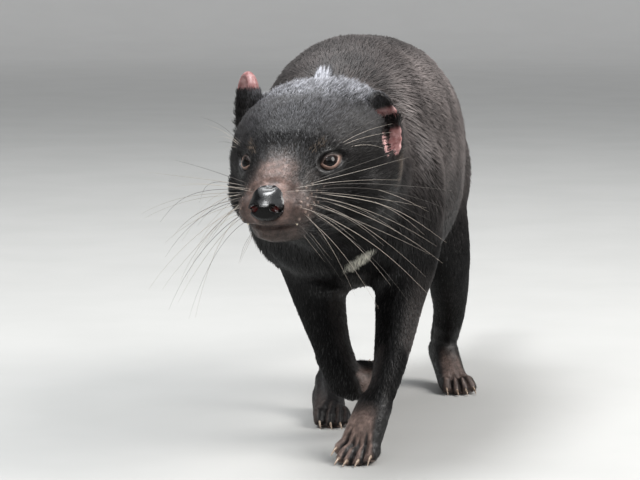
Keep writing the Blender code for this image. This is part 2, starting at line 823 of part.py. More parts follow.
def add_nose(head, made):
    """The nose pad with a comma-shaped nostril on each side and a groove down its middle."""
    frame = head_frame()
    nose = object_of("nose", in_frame(nose_shape(), frame))
    for side in (-1, 1):
        turn = Matrix.Rotation(side * math.radians(38), 4, "Y")
        hole_place = (side * 7.6 * MM, NOSE_PLACE.y - 8.2 * MM, NOSE_PLACE.z - 1.2 * MM)
        hole = ellipsoid(hole_place, (4.6 * MM, 5.0 * MM, 2.7 * MM), turn, 8, 14)
        slit_place = (side * 12.6 * MM, NOSE_PLACE.y - 4.2 * MM, NOSE_PLACE.z - 3.4 * MM)
        slit = ellipsoid(slit_place, (3.6 * MM, 5.0 * MM, 1.5 * MM), turn, 8, 12)
        combine(nose, in_frame(hole, frame), "DIFFERENCE")
        combine(nose, in_frame(slit, frame), "DIFFERENCE")
    front = NOSE_PLACE.y
    half = 0.55 * MM
    mouth = front - 8.6 * MM
    outline = ((-half, mouth), (0, front - 30 * MM), (half, mouth), (0, front - 6.2 * MM))
    groove = prism(outline, "Z", NOSE_PLACE.z - 0.02, NOSE_PLACE.z - 1.0 * MM, 0, frame)
    combine(nose, groove, "DIFFERENCE")
    combine(head, in_frame(nose_shape(GAP), frame), "DIFFERENCE")
    made["nose"] = largest_body(nose)


def add_teeth(head, jaw, made):
    """The tips of the upper canines, which show below the lip."""
    frame = head_frame()
    stations = (
        # outwards, behind the nose, up, half width
        (0.0182, 0.0150, -0.0375, 0.0022),
        (0.0187, 0.0142, -0.0425, 0.0018),
        (0.0190, 0.0138, -0.0465, 0.0006),
    )
    for side, name in ((-1, "canine_right"), (1, "canine_left")):
        for grow in (GAP, 0.0):
            rows = []
            for x, y, z, size in stations:
                rows.append((side * x, -MUZZLE_LENGTH + y, z, size + grow, size + grow))
            tooth = in_frame(limb(rows, steps=1, sides=7, caps=1), frame)
            if grow:
                spare = object_of("spare", tooth)
                combine(head, pushed_out(spare.data), "DIFFERENCE")
                combine(jaw, pushed_out(spare.data), "DIFFERENCE")
                bpy.data.objects.remove(spare)
            else:
                made[name] = object_of(name, tooth)


def add_claws(feet, made):
    """One claw on each toe, seated in a sleeve cut in the foot."""
    for foot, paw in PAWS.items():
        for number, digit in enumerate(paw.digits, 1):
            name = foot.replace("foot", "claw") + "_" + str(number)
            combine(feet[foot], paw.claw(digit, GAP), "DIFFERENCE")
            made[name] = object_of(name, paw.claw(digit))
        largest_body(feet[foot])


def whisker(root, heading, length, droop, thick):
    """One long tapering whisker that leaves its root along a heading and droops."""
    rows = []
    for part in np.linspace(0, 1, 5):
        place = Vector(root) + Vector(heading).normalized() * length * part
        place.z -= droop * part**2
        size = thick * (1 - 0.35 * part)
        rows.append((*place, size, size))
    return limb(rows, steps=1, sides=5, dome=0.3, caps=1)


def add_whiskers(head, made):
    """The longest whiskers of each side, on the low pad they grow from."""
    frame = head_frame()
    for side, name in ((-1, "whiskers_right"), (1, "whiskers_left")):
        place = Vector((side * 24.5 * MM, -32 * MM, -30 * MM))
        out = Vector((side * 0.80, -0.55, -0.10))
        turn = axes(out, (0, 0, 1))
        for grow in (GAP, 0.0):
            sizes = (8 * MM + grow, 4.5 * MM + grow, 8 * MM + grow)
            pad = in_frame(ellipsoid(place, sizes, turn, 8, 12), frame)
            if grow:
                combine(head, pad, "DIFFERENCE")
            else:
                made[name] = object_of(name, pad)
        fans = (
            # forward and upward lean of each whisker, its length and its droop
            (0.30, 0.12, 0.098, 0.020),
            (0.34, -0.06, 0.104, 0.030),
            (0.28, -0.30, 0.100, 0.034),
            (0.22, -0.62, 0.086, 0.030),
        )
        hairs = []
        for number, (fore, rise, length, droop) in enumerate(fans):
            root = place + out.normalized() * 3.0 * MM + Vector((0, 0, (3.2 - 2.2 * number) * MM))
            heading = Vector((side * 1.0, fore, rise))
            hairs.append(in_frame(whisker(root, heading, length, droop, 0.42 * MM), frame))
        unite(made[name], hairs)
        largest_body(made[name])


def set_down(made):
    """Move every node so that the origin is on the floor, at the middle of the animal's bounding box."""
    places = np.array([vert.co[:] for target in made.values() for vert in target.data.vertices])
    low = places.min(axis=0)
    high = places.max(axis=0)
    shift = Vector((-(low[0] + high[0]) / 2, -(low[1] + high[1]) / 2, -low[2]))
    for target in made.values():
        target.data.transform(Matrix.Translation(shift))


def dress(made):
    """Name each object after its node and give it its material."""
    kinds = {
        "eye": ("eye", EYE_BROWN, 0.05),
        "nose": ("nose", NOSE_BLACK, 0.22),
        "canine": ("tooth", TOOTH_IVORY, 0.25),
        "whiskers": ("whisker", WHISKER_GREY, 0.4),
        "foreclaw": ("claw", CLAW_HORN, 0.35),
        "hindclaw": ("claw", CLAW_HORN, 0.35),
        "forefoot": ("bare_skin", BARE_PINK, 0.6),
        "hindfoot": ("bare_skin", BARE_PINK, 0.6),
        "ear": ("ear_skin", EAR_PINK, 0.6),
    }
    for name, target in made.items():
        slot, colour, roughness = kinds.get(name.split("_")[0], ("coat", BLACK_COAT, 0.55))
        target.name = name
        target.data.name = name
        target.data.materials.clear()
        target.data.materials.append(material(slot + "_" + name, colour, roughness))
        target.data.shade_smooth()
        target.data.set_sharp_from_angle(angle=math.radians(50))


def main():
    clear_scene()
    body = flesh()
    made = {"torso": body}
    head = carve(body, "head", head_cutter)
    jaw = carve(head, "lower_jaw", jaw_cutter)
    made["head"] = head
    made["lower_jaw"] = jaw
    made["neck"] = carve(body, "neck", neck_cutter)
    feet = {}
    for name, paw in PAWS.items():
        # The bent paw lies close to its own forearm
        below = 14 * MM if name == "forefoot_right" else 40 * MM
        feet[name] = carve(body, name, foot_cutter(paw, below))
        made[name] = feet[name]
    made["tail"] = carve(body, "tail", tail_cutter)
    for name, points in LEGS.items():
        made[name] = carve(body, name, leg_cutter(points))
    largest_body(body)
    add_eyes(head, made)
    add_ears(head, made["neck"], made)
    add_nose(head, made)
    add_teeth(head, jaw, made)
    add_claws(feet, made)
    add_whiskers(head, made)
    for target in (head, jaw, made["neck"]):
        largest_body(target)
    set_down(made)
    dress(made)


main()
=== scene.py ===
"""A Tasmanian devil in mid-walk: skin, coat, face, ears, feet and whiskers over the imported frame.

The animal faces -Y, its own left is +X, and everything is in metres in the frame's axes.
"""

import math

import bmesh
import bpy
import numpy as np
from bpy.props import FloatProperty, FloatVectorProperty, IntProperty, PointerProperty
from mathutils import Matrix, Vector
from mathutils.bvhtree import BVHTree
from mathutils.kdtree import KDTree


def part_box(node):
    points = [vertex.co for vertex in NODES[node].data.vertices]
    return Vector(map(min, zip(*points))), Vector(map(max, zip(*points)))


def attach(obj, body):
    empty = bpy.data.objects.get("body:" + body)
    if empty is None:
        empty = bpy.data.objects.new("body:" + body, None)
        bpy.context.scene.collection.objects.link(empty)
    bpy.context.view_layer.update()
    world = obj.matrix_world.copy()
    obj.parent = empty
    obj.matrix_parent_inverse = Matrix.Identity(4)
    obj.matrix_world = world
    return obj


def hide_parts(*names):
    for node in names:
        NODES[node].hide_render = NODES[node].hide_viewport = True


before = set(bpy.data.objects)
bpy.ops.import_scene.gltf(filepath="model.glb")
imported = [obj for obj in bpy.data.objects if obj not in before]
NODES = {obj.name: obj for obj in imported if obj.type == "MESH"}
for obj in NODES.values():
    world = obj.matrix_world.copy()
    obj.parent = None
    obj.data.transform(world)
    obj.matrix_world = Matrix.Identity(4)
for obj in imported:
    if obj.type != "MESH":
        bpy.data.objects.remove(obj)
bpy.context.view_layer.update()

bl_info = {
    "name": "Tasmanian devil",
    "version": (1, 0, 0),
    "blender": (4, 5, 0),
    "location": "View3D > Sidebar > Devil",
    "description": "Builds the skin, coat and features of a Tasmanian devil in mid-walk",
    "category": "Object",
}

MM = 0.001
SKIN_OFF_FLOOR = 0.3 * MM
TUFTS_OFF_FLOOR = 0.2 * MM
PHOTO_WIDTH = 640  # in pixels

# The head's turns, as in the solids, and the point midway between the eyeballs' centres in its own axes
HEAD_YAW = math.radians(11)
HEAD_PITCH = math.radians(2)
HEAD_ROLL = math.radians(-2)
EYES_MIDDLE = Vector((1.0 * MM, 0.55 * MM, -1.8 * MM))

PARTS = {
    "head": ("head", "lower_jaw"),
    "neck": ("neck",),
    "torso": ("torso",),
    "tail": ("tail",),
    "leg": ("foreleg_left", "foreleg_right", "hindleg_left", "hindleg_right"),
    "foot": ("forefoot_left", "forefoot_right", "hindfoot_left", "hindfoot_right"),
}
FLESH = [name for names in PARTS.values() for name in names]

# The coat on each part: its depth, the tufts' length and width in millimetres, how far a tip stands off
# the skin as a share of the length, and how many tufts there are for an area
COAT = {
    "head": (2.6, 7.0, 0.62, 0.26, 1.30),
    "neck": (3.4, 11.0, 0.78, 0.26, 0.80),
    "torso": (3.5, 12.0, 0.85, 0.22, 0.55),
    "tail": (3.0, 12.0, 0.85, 0.22, 0.60),
    "leg": (2.1, 7.0, 0.56, 0.14, 1.15),
    "foot": (0.45, 3.2, 0.20, 0.13, 1.10),
}
TUFTS_IN_PIECE = 32500
EAR_TUFTS = 7000
TUFT_ROOT = 0.35 * MM  # how deep a tuft starts in the skin
TUFTS_IN_LOCK = {"body": 9, "ear": 8}
MAP_FACES = {"body": 6000, "ear": 1500}  # in the thinned copy that gives a piece its map for baking
PATCH = 0.0015  # half the width of a tuft's patch on that map, as a share of it

# Sizes of the cells that the fused shapes are sampled with; the skin's own is a setting
CELLS = {"fine": 1.3 * MM, "nose": 0.42 * MM, "ear": 0.75 * MM}

# One start for each run of random numbers
SEEDS = {"coat": 11, "ears": 23, "whiskers": 3, "tints": 5}

# What the skin carries for the coat only
GUIDES = ("length", "width", "rise", "density", "lie")

# The features of the head, as places and directions in its own axes
EYE_RADIUS = 8.2 * MM
EYE_LOOK = {"eye_left": Vector((0.52, -0.85, 0.10)), "eye_right": Vector((-0.52, -0.85, 0.10))}
EYE_UP = Vector((0.0, 0.1, 1.0))
CORNEA_START = 0.72  # the share of the radius at which the clear front begins
CORNEA_BULGE = 2.6 * MM
LID_HALF = (6.5 * MM, 3.8 * MM)  # the half width and height of the opening between the lids
LID_SLANT = math.radians(20)
LID_SHIFT = (0.9 * MM, 1.9 * MM)  # how far outwards and upwards of the eye's middle the opening is
LID_POINTS = 60  # round the opening
# Rows round the lids: the share of the opening, the height over the eyeball in millimetres, how far the
# row has gone over to the skin and how deep under it in millimetres (less than 0 is above it), how bare it
# is and how much it is the dark wet edge
LID_ROWS = (
    (0.86, -0.70, 0.00, -0.15, 1.00, 1.0),
    (0.96, 0.00, 0.00, -0.15, 1.00, 1.0),
    (1.01, 0.30, 0.00, -0.15, 1.00, 0.6),
    (1.08, 0.55, 0.00, -0.15, 1.00, 0.0),
    (1.18, 0.65, 0.00, -0.15, 0.80, 0.0),
    (1.32, 0.50, 0.15, -0.15, 0.50, 0.0),
    (1.48, 0.25, 0.45, -0.15, 0.28, 0.0),
    (1.66, 0.30, 0.80, -0.15, 0.10, 0.0),
    (1.90, 0.20, 1.00, -0.15, 0.00, 0.0),
    (2.12, 0.00, 1.00, 1.40, 0.00, 0.0),
)
NOSE_PLACE = Vector((0, -51.5 * MM, -26.6 * MM))
PAD_PLACE = Vector((24.5 * MM, -32 * MM, -30 * MM))  # the swelling that carries the whiskers
PAD_OUT = Vector((0.80, -0.55, -0.10)).normalized()
NAPE = Vector((-1.5 * MM, 90 * MM, 52 * MM))  # the tuft that stands up behind the crown
NAPE_SIZES = (6.5 * MM, 9 * MM, 25 * MM)
EAR_CORNER = Vector((58.0 * MM, 62.5 * MM, 5.5 * MM))  # where the ear's opening runs down into the head

# The ears' directions, and the places of the body's marks, in the frame's axes
EAR_UP = {"ear_left": Vector((-0.26, -0.05, 1.0)), "ear_right": Vector((-0.06, 0.05, 1.0))}
EAR_OPENS = {"ear_left": Vector((0.70, -0.70, 0.10)), "ear_right": Vector((-0.86, -0.51, 0.05))}
BLAZE = Vector((0.0385, -0.2126, 0.1525))  # the middle of the white mark on the chest
BLAZE_HALF = (0.0145, 0.0036)
BLAZE_LEAN = math.radians(36)
PALM = ((0.0330, -0.1780, 0.0490), (0.0150, 0.0160, 0.0125), 0.45)  # of the lifted forefoot

# The line of the mouth in the head's axes: how far back from the eyes, and how high
MOUTH_LINE = ((-90 * MM, -42.8 * MM), (-30 * MM, -42.6 * MM), (-4 * MM, -39.2 * MM), (10 * MM, -37 * MM))

# Regions of the head in its own axes, for the markings and for the coat: the middle, the half sizes in
# metres and how soft the edge is. One off the middle line is on both sides.
MARKS = {
    "muzzle": ((0, -0.0500, -0.0320), (0.0350, 0.0365, 0.0300), 0.28),
    "bridge": ((0, -0.0290, -0.0040), (0.0160, 0.0250, 0.0140), 0.60),
    "tear": ((0.0220, -0.0160, -0.0090), (0.0060, 0.0090, 0.0050), 0.60),
    "chin": ((0, -0.0360, -0.0540), (0.0240, 0.0180, 0.0085), 0.30),
    "lip": ((0, -0.0420, -0.0485), (0.0190, 0.0140, 0.0070), 0.35),
    "brow": ((0.0266, -0.0060, 0.0122), (0.0030, 0.0045, 0.0042), 0.45),
    "under_ear": ((0.0590, 0.0840, -0.0150), (0.0090, 0.0150, 0.0105), 0.60),
    "crown": ((0, 0.0760, 0.0480), (0.0480, 0.0300, 0.0130), 0.60),
    "forehead": ((0, 0.0330, 0.0360), (0.0430, 0.0440, 0.0250), 0.90),
}
BARE_CORNER = (EAR_CORNER, (0.0110, 0.0150, 0.0135), 0.25)
# Painted shadow under the nose pad, on the front of the upper lip
NOSE_SHADOW_PLACE = ((0, -0.0570, -0.0405), (0.0085, 0.0110, 0.0060), 0.40)
COAT_REGIONS = {
    "cheek": ((0.052, 0.048, -0.022), (0.030, 0.034, 0.036), 0.50),
    "crown": ((0, 0.080, 0.048), (0.050, 0.026, 0.016), 0.50),
    "muzzle": ((0, -0.050, -0.032), (0.035, 0.0365, 0.030), 0.30),
    "bridge": ((0, -0.029, -0.004), (0.016, 0.025, 0.014), 0.60),
    "chin": ((0, -0.036, -0.053), (0.026, 0.022, 0.010), 0.30),
    "eye": ((0.0345, -0.0065, -0.002), (0.0125, 0.0125, 0.0105), 0.25),
    "corner": (EAR_CORNER, (0.0100, 0.0140, 0.0120), 0.22),
    "before_ear": (EAR_CORNER - Vector((0, 0.016, 0)), (0.012, 0.010, 0.016), 0.40),
    "nose": (NOSE_PLACE, (0.0125, 0.012, 0.0105), 0.15),
}
EAR_HOLLOW = (EAR_CORNER, (0.012, 0.0115, 0.0130), 0.40)
NOSE_CLEAR = (  # where no tuft grows: round the nose pad and on its top
    (NOSE_PLACE, (0.0135, 0.011, 0.0112), 0.01),
    (NOSE_PLACE + Vector((0, 8 * MM, 11 * MM)), (0.0085, 0.0075, 0.0060), 0.01),
)

WHISKERS_IN_ROW = (4, 5, 5, 5, 4)  # from the top row of the muzzle down
WHISKER_LONGEST = 106 * MM
WHISKER_SIDES = 5
WHISKER_POINTS = 14  # along each

# Colours that go with the ones in the settings
SPARSE_HAIR = (0.20, 0.155, 0.125)
# The chin's hair and the lower lip's skin: partly their own dark colour and partly painted shade under the
# jaw
CHIN_HAIR = (0.036, 0.029, 0.023)
LIP_SKIN = (0.048, 0.028, 0.022)
# Painted shadow under the nose
NOSE_SHADOW_COLOUR = (0.030, 0.019, 0.016)
GREY_HAIR = (0.20, 0.19, 0.19)
WHISKER_SPOT = (0.50, 0.37, 0.31)
MOUTH_EDGE = (0.022, 0.011, 0.010)
# The second is the darker red of the folds and of the painted shade deep in the cup
EAR_FLUSH, EAR_FOLD_AND_SHADE, EAR_UNDER_FUR = (0.30, 0.115, 0.110), (0.13, 0.030, 0.030), (0.012, 0.010, 0.010)
NOSE_BLACK, NOSTRIL_RED = (0.0030, 0.0027, 0.0030), (0.075, 0.012, 0.011)
EYE_DARK, IRIS_BROWN, PUPIL_BLACK = (0.012, 0.007, 0.006), (0.0050, 0.0027, 0.0019), (0.002, 0.002, 0.002)
CLAW_HORN, CLAW_STREAK = (0.56, 0.45, 0.35), (0.20, 0.13, 0.09)
TOOTH_IVORY, TOOTH_STREAK = (0.80, 0.74, 0.62), (0.62, 0.50, 0.34)
WHISKER_ROOT, WHISKER_DARK, WHISKER_PALE = (0.05, 0.035, 0.03), (0.020, 0.016, 0.014), (0.50, 0.44, 0.38)
FLOOR_GREYS = (0.42, 0.42, 0.41), (0.44, 0.44, 0.43)

# The camera, in pixels of the photograph, and how far from the head's origin its aim is
FOCAL = 2720
SHIFT = (-31, 14)
AIM_FROM_HEAD = Vector((26 * MM, 170 * MM, -90 * MM))

# Round studio lights: place, aim, diameter, watts and colour
MIDDLE = (0, -0.1, 0.2)
LIGHTS = {
    "sky": ((0, 0, 3.6), (0, 0, 0), 7.0, 145, (0.95, 0.98, 1.0)),
    "top": ((-0.66, -0.62, 2.35), MIDDLE, 0.9, 46, (0.98, 0.99, 1.0)),
    "front": ((-0.8, -2.2, 2.4), MIDDLE, 1.4, 9, (1.0, 0.98, 0.95)),
    "side": ((1.9, -0.2, 1.9), MIDDLE, 1.6, 68, (1.0, 0.97, 0.94)),
    "behind": ((-0.70, 1.30, 2.6), MIDDLE, 1.2, 17, (1, 1, 1)),
}


# Numbers and arrays


def smooth(low, high, value):
    """0 below low, 1 above high and a smooth step between; low may be the larger."""
    t = np.clip((value - low) / (high - low), 0, 1)
    return t * t * (3 - 2 * t)


def hill(value, width):
    """1 where the value is 0, falling off smoothly to both sides."""
    return np.exp(-((value / width) ** 2))


def mix(a, b, t):
    """From a at 0 to b at 1."""
    return a + (b - a) * t


def unit(rows):
    """Each row at a length of 1."""
    return rows / np.maximum(np.linalg.norm(rows, axis=1), 1e-9)[:, None]


def scaled(rows, factors):
    """Each row times its own factor."""
    return rows * factors[:, None]


def numbers(collection, name, width=3):
    """One property of a mesh's elements as an array of rows."""
    values = np.empty(len(collection) * width, np.float32)
    collection.foreach_get(name, values)
    return values.reshape(-1, width).astype(float) if width > 1 else values.astype(float)


def indices(collection, name, width):
    """The same for whole numbers."""
    values = np.empty(len(collection) * width, np.int32)
    collection.foreach_get(name, values)
    return values.reshape(-1, width)


def ball(points, centre, sizes, edge=0.25):
    """1 inside an ellipsoid of these half sizes and 0 outside, with a soft edge."""
    away = np.linalg.norm((points - np.array(centre)) / np.array(sizes), axis=1)
    return smooth(1 + edge, 1 - edge, away)


def nearest(places, rows):
    """The index of the row nearest to each place."""
    tree = KDTree(len(rows))
    for index, row in enumerate(rows):
        tree.insert(row, index)
    tree.balance()
    return np.array([tree.find(place)[1] for place in places])


# The head's own axes: x to its left, y back, z up


def head_turn():
    """The turn from the head's axes to the frame's."""
    yaw = Matrix.Rotation(-HEAD_YAW, 3, "Z")
    return yaw @ Matrix.Rotation(HEAD_PITCH, 3, "X") @ Matrix.Rotation(HEAD_ROLL, 3, "Y")


def middle_of(node):
    """The middle of a node's box."""
    low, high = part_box(node)
    return (low + high) / 2


TURN = head_turn()
TURN_ROWS = np.array(TURN)
HEAD = (middle_of("eye_left") + middle_of("eye_right")) / 2 - TURN @ EYES_MIDDLE


def from_head(place):
    """A point in the head's axes, as a point in the frame."""
    return HEAD + TURN @ Vector(place)


def to_head(points):
    """Rows of frame points in the head's axes."""
    return (points - np.array(HEAD)) @ TURN_ROWS


def folded(head):
    """Points in the head's axes, with the right half laid over the left."""
    return np.stack([np.abs(head[:, 0]), head[:, 1], head[:, 2]], axis=1)


def facing(along, up):
    """Axes whose -y looks along one direction and whose z is as near as it can be to another."""
    back = -Vector(along).normalized()
    across = back.cross(Vector(up)).normalized()
    return Matrix((across, back, across.cross(back))).transposed()


def sided(place, side):
    """A place of the left half, or with side -1 its like on the right."""
    return Vector((side * place.x, place.y, place.z))


# Meshes and objects


def linked(name, data):
    """A new object in the scene."""
    made = bpy.data.objects.new(name, data)
    bpy.context.scene.collection.objects.link(made)
    return made


def object_of(name, shape):
    """A new object that holds the bmesh, which is freed."""
    mesh = bpy.data.meshes.new(name)
    shape.to_mesh(mesh)
    shape.free()
    return linked(name, mesh)


def add_shape(whole, shape):
    """Put a bmesh into another; the first is freed."""
    mesh = bpy.data.meshes.new("spare")
    shape.to_mesh(mesh)
    shape.free()
    whole.from_mesh(mesh)
    bpy.data.meshes.remove(mesh)


def solids(names, push=0.0):
    """Copies of the frame's nodes in one bmesh, each merged and pushed out along its normals."""
    whole = bmesh.new()
    for name in names:
        shape = bmesh.new()
        shape.from_mesh(NODES[name].data)
        bmesh.ops.remove_doubles(shape, verts=shape.verts, dist=1e-5)
        shape.normal_update()
        for vert, move in [(vert, vert.normal * push) for vert in shape.verts]:
            vert.co += move
        add_shape(whole, shape)
    return whole


def ellipsoid(centre, sizes, axes=None):
    """A ball of these half sizes, turned by a 3 by 3 matrix about its centre."""
    shape = bmesh.new()
    bmesh.ops.create_icosphere(shape, subdivisions=3, radius=1)
    bmesh.ops.scale(shape, vec=sizes, verts=shape.verts)
    if axes is not None:
        bmesh.ops.transform(shape, matrix=axes.to_4x4(), verts=shape.verts)
    bmesh.ops.translate(shape, vec=centre, verts=shape.verts)
    return shape


def add_rings(shape, rows, **values):
    """A band of faces through rings of places, extruded from a circle, with values for the same points."""
    floats = shape.verts.layers.float
    layers = {name: floats.get(name) or floats.new(name) for name in values}
    ring = bmesh.ops.create_circle(shape, segments=len(rows[0]), radius=1)["verts"]
    rings = [ring]
    for _ in rows[1:]:
        edges = [shape.edges.get(pair) for pair in zip(ring, ring[1:] + ring[:1])]
        made = set(bmesh.ops.extrude_edge_only(shape, edges=edges)["geom"])
        ends = [[edge.other_vert(vert) for edge in vert.link_edges] for vert in ring]
        ring = [next(vert for vert in found if vert in made) for found in ends]
        rings.append(ring)
    for row, ring in enumerate(rings):
        for index, vert in enumerate(ring):
            vert.co = rows[row][index]
            for name, layer in layers.items():
                vert[layer] = values[name][row][index]
    return rings


def tree_of(mesh):
    """A search tree of a mesh's faces."""
    places = [vert.co for vert in mesh.vertices]
    return BVHTree.FromPolygons(places, [face.vertices for face in mesh.polygons])


def apply_modifiers(piece):
    """Make the shape that the modifiers give the piece's own."""
    bpy.context.view_layer.update()
    graph = bpy.context.evaluated_depsgraph_get()
    mesh = bpy.data.meshes.new_from_object(piece.evaluated_get(graph))
    old = piece.data
    piece.modifiers.clear()
    piece.data = mesh
    bpy.data.meshes.remove(old)
    return piece


def rounded(piece, levels):
    """Subdivide a piece and shade it smooth."""
    subdivide = piece.modifiers.new("rounded", "SUBSURF")
    subdivide.levels = subdivide.render_levels = levels
    apply_modifiers(piece)
    piece.data.shade_smooth()
    return piece


def fused(name, shape, voxel, smoothing=0):
    """One closed surface round everything in the bmesh."""
    piece = object_of(name, shape)
    remesh = piece.modifiers.new("fuse", "REMESH")
    remesh.mode = "VOXEL"
    remesh.voxel_size = voxel
    if smoothing:
        soften = piece.modifiers.new("soften", "SMOOTH")
        soften.factor = 0.5
        soften.iterations = smoothing
    return apply_modifiers(piece)


def keep_largest(piece):
    """Drop every closed surface but the one with the most points."""
    shape = bmesh.new()
    shape.from_mesh(piece.data)
    left = set(shape.verts)
    bodies = []
    while left:
        front = [left.pop()]
        found = set(front)
        while front:
            vert = front.pop()
            for edge in vert.link_edges:
                other = edge.other_vert(vert)
                if other in left:
                    left.discard(other)
                    found.add(other)
                    front.append(other)
        bodies.append(found)
    for scrap in sorted(bodies, key=len)[:-1]:
        bmesh.ops.delete(shape, geom=list(scrap), context="VERTS")
    shape.to_mesh(piece.data)
    shape.free()
    return piece


def write(mesh, name, values, kind="FLOAT"):
    """Store an array on the mesh's points under a name."""
    old = mesh.attributes.get(name)
    if old is not None:
        mesh.attributes.remove(old)
    layer = mesh.attributes.new(name, kind, "POINT")
    layer.data.foreach_set("value" if kind == "FLOAT" else "vector", np.asarray(values, np.float32).ravel())


def read(mesh, name, width=1):
    """The array stored on the mesh's points under a name."""
    return numbers(mesh.attributes[name].data, "value" if width == 1 else "vector", width)


class Surface:
    """A mesh's points, normals and edges as arrays, for smoothing values over it."""

    def __init__(self, mesh):
        self.mesh = mesh
        self.points = numbers(mesh.vertices, "co")
        self.normals = numbers(mesh.vertices, "normal")
        self.edges = indices(mesh.edges, "vertices", 2)
        self.share = 1 / np.maximum(np.bincount(self.edges.ravel(), minlength=len(self.points)), 1)

    def spread(self, values, rounds, keep=0.5, where=None):
        """Average each value with its neighbours' this many times, only as far as where says."""
        values = np.array(values, float)
        flat = values.reshape(len(values), -1)
        one, two = self.edges[:, 0], self.edges[:, 1]
        blend = (1 - keep) if where is None else (1 - keep) * where
        for _ in range(rounds):
            for column in range(flat.shape[1]):
                here = flat[:, column]
                total = np.bincount(one, here[two], len(here)) + np.bincount(two, here[one], len(here))
                flat[:, column] = here + (total * self.share - here) * blend
        return flat.reshape(values.shape)

    def lift(self, heights):
        """Move each point out along its normal."""
        self.points += scaled(self.normals, heights)

    def soften(self, rounds, keep=0.5, where=None):
        """Smooth the shape itself and store it."""
        self.points = self.spread(self.points, rounds, keep, where)
        self.store()

    def store(self):
        """Put the points back in the mesh and read its normals again."""
        self.mesh.vertices.foreach_set("co", self.points.astype(np.float32).ravel())
        self.mesh.update()
        self.normals = numbers(self.mesh.vertices, "normal")


def finish_piece(piece, slot, *materials, replaces=()):
    """Give a piece its materials and its body, and hide the nodes that it stands for; the slot is not used.
    """
    piece.data.materials.clear()
    for made in materials:
        piece.data.materials.append(made)
    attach(piece, "root")
    if replaces:
        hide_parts(*replaces)
    return piece


# Settings


class DevilCoat(bpy.types.PropertyGroup):
    """Sizes and colours of the fur."""

    tufts: IntProperty(
        name="Tufts",
        description="How many tufts of fur cover the whole animal",
        default=250000,
        min=1000,
    )
    length: FloatProperty(
        name="Length",
        description="Scales the length of every tuft",
        default=1.0,
        min=0.2,
        subtype="FACTOR",
    )
    black: FloatVectorProperty(
        name="Coat",
        description="The coat's own colour",
        default=(0.0034, 0.0032, 0.0034),
        subtype="COLOR",
    )
    # Partly the coat's faded brown and partly painted sheen where the light falls on the back
    brown: FloatVectorProperty(
        name="Faded coat",
        description="The warmer colour of the back and hips",
        default=(0.060, 0.052, 0.050),
        subtype="COLOR",
    )
    # Also the colour of the painted sheen on the crown and forehead
    silver: FloatVectorProperty(
        name="Silver",
        description="The pale tips on the nape and crown",
        default=(0.62, 0.63, 0.69),
        subtype="COLOR",
    )
    white: FloatVectorProperty(
        name="White",
        description="The blaze on the chest",
        default=(0.50, 0.485, 0.42),
        subtype="COLOR",
    )
    tan: FloatVectorProperty(
        name="Tan",
        description="The spots over the eyes and under the ears",
        default=(0.17, 0.130, 0.100),
        subtype="COLOR",
    )


class DevilSkin(bpy.types.PropertyGroup):
    """Sizes and colours of the bare skin."""

    voxel: FloatProperty(
        name="Sampling",
        description="How finely the body's skin is sampled",
        default=3.55 * MM,
        unit="LENGTH",
    )
    pink: FloatVectorProperty(
        name="Muzzle",
        description="The bare skin of the muzzle",
        default=(0.225, 0.138, 0.115),
        subtype="COLOR",
    )
    paw: FloatVectorProperty(
        name="Paws",
        description="The skin of the feet",
        default=(0.37, 0.262, 0.225),
        subtype="COLOR",
    )
    rim: FloatVectorProperty(
        name="Lids",
        description="The bare edges of the eyelids",
        default=(0.38, 0.235, 0.185),
        subtype="COLOR",
    )
    ear: FloatVectorProperty(
        name="Ears",
        description="The thin skin inside the ears",
        default=(0.60, 0.36, 0.35),
        subtype="COLOR",
    )
    under: FloatVectorProperty(
        name="Under the fur",
        description="The skin that the coat hides",
        default=(0.006, 0.0055, 0.006),
        subtype="COLOR",
    )


class DevilStage(bpy.types.PropertyGroup):
    """The camera's place."""

    azimuth: FloatProperty(
        name="Azimuth",
        description="The camera's turn round the animal",
        default=math.radians(7),
        unit="ROTATION",
    )
    elevation: FloatProperty(
        name="Elevation",
        description="How far the camera looks down",
        default=math.radians(7),
        unit="ROTATION",
    )
    distance: FloatProperty(
        name="Distance",
        description="From the camera to its target",
        default=2.2,
        unit="LENGTH",
    )


# Materials


class Value:
    """One output of a node, which takes part in sums: each sum makes a node."""

    def __init__(self, graph, socket):
        self.graph = graph
        self.socket = socket

    def __add__(self, other):
        return self.graph.maths("ADD", self, other)

    def __radd__(self, other):
        return self.graph.maths("ADD", other, self)

    def __sub__(self, other):
        return self.graph.maths("SUBTRACT", self, other)

    def __rsub__(self, other):
        return self.graph.maths("SUBTRACT", other, self)

    def __mul__(self, other):
        return self.graph.maths("MULTIPLY", self, other)

    def __truediv__(self, other):
        return self.graph.maths("DIVIDE", self, other)

    def __abs__(self):
        return self.graph.maths("ABSOLUTE", self)


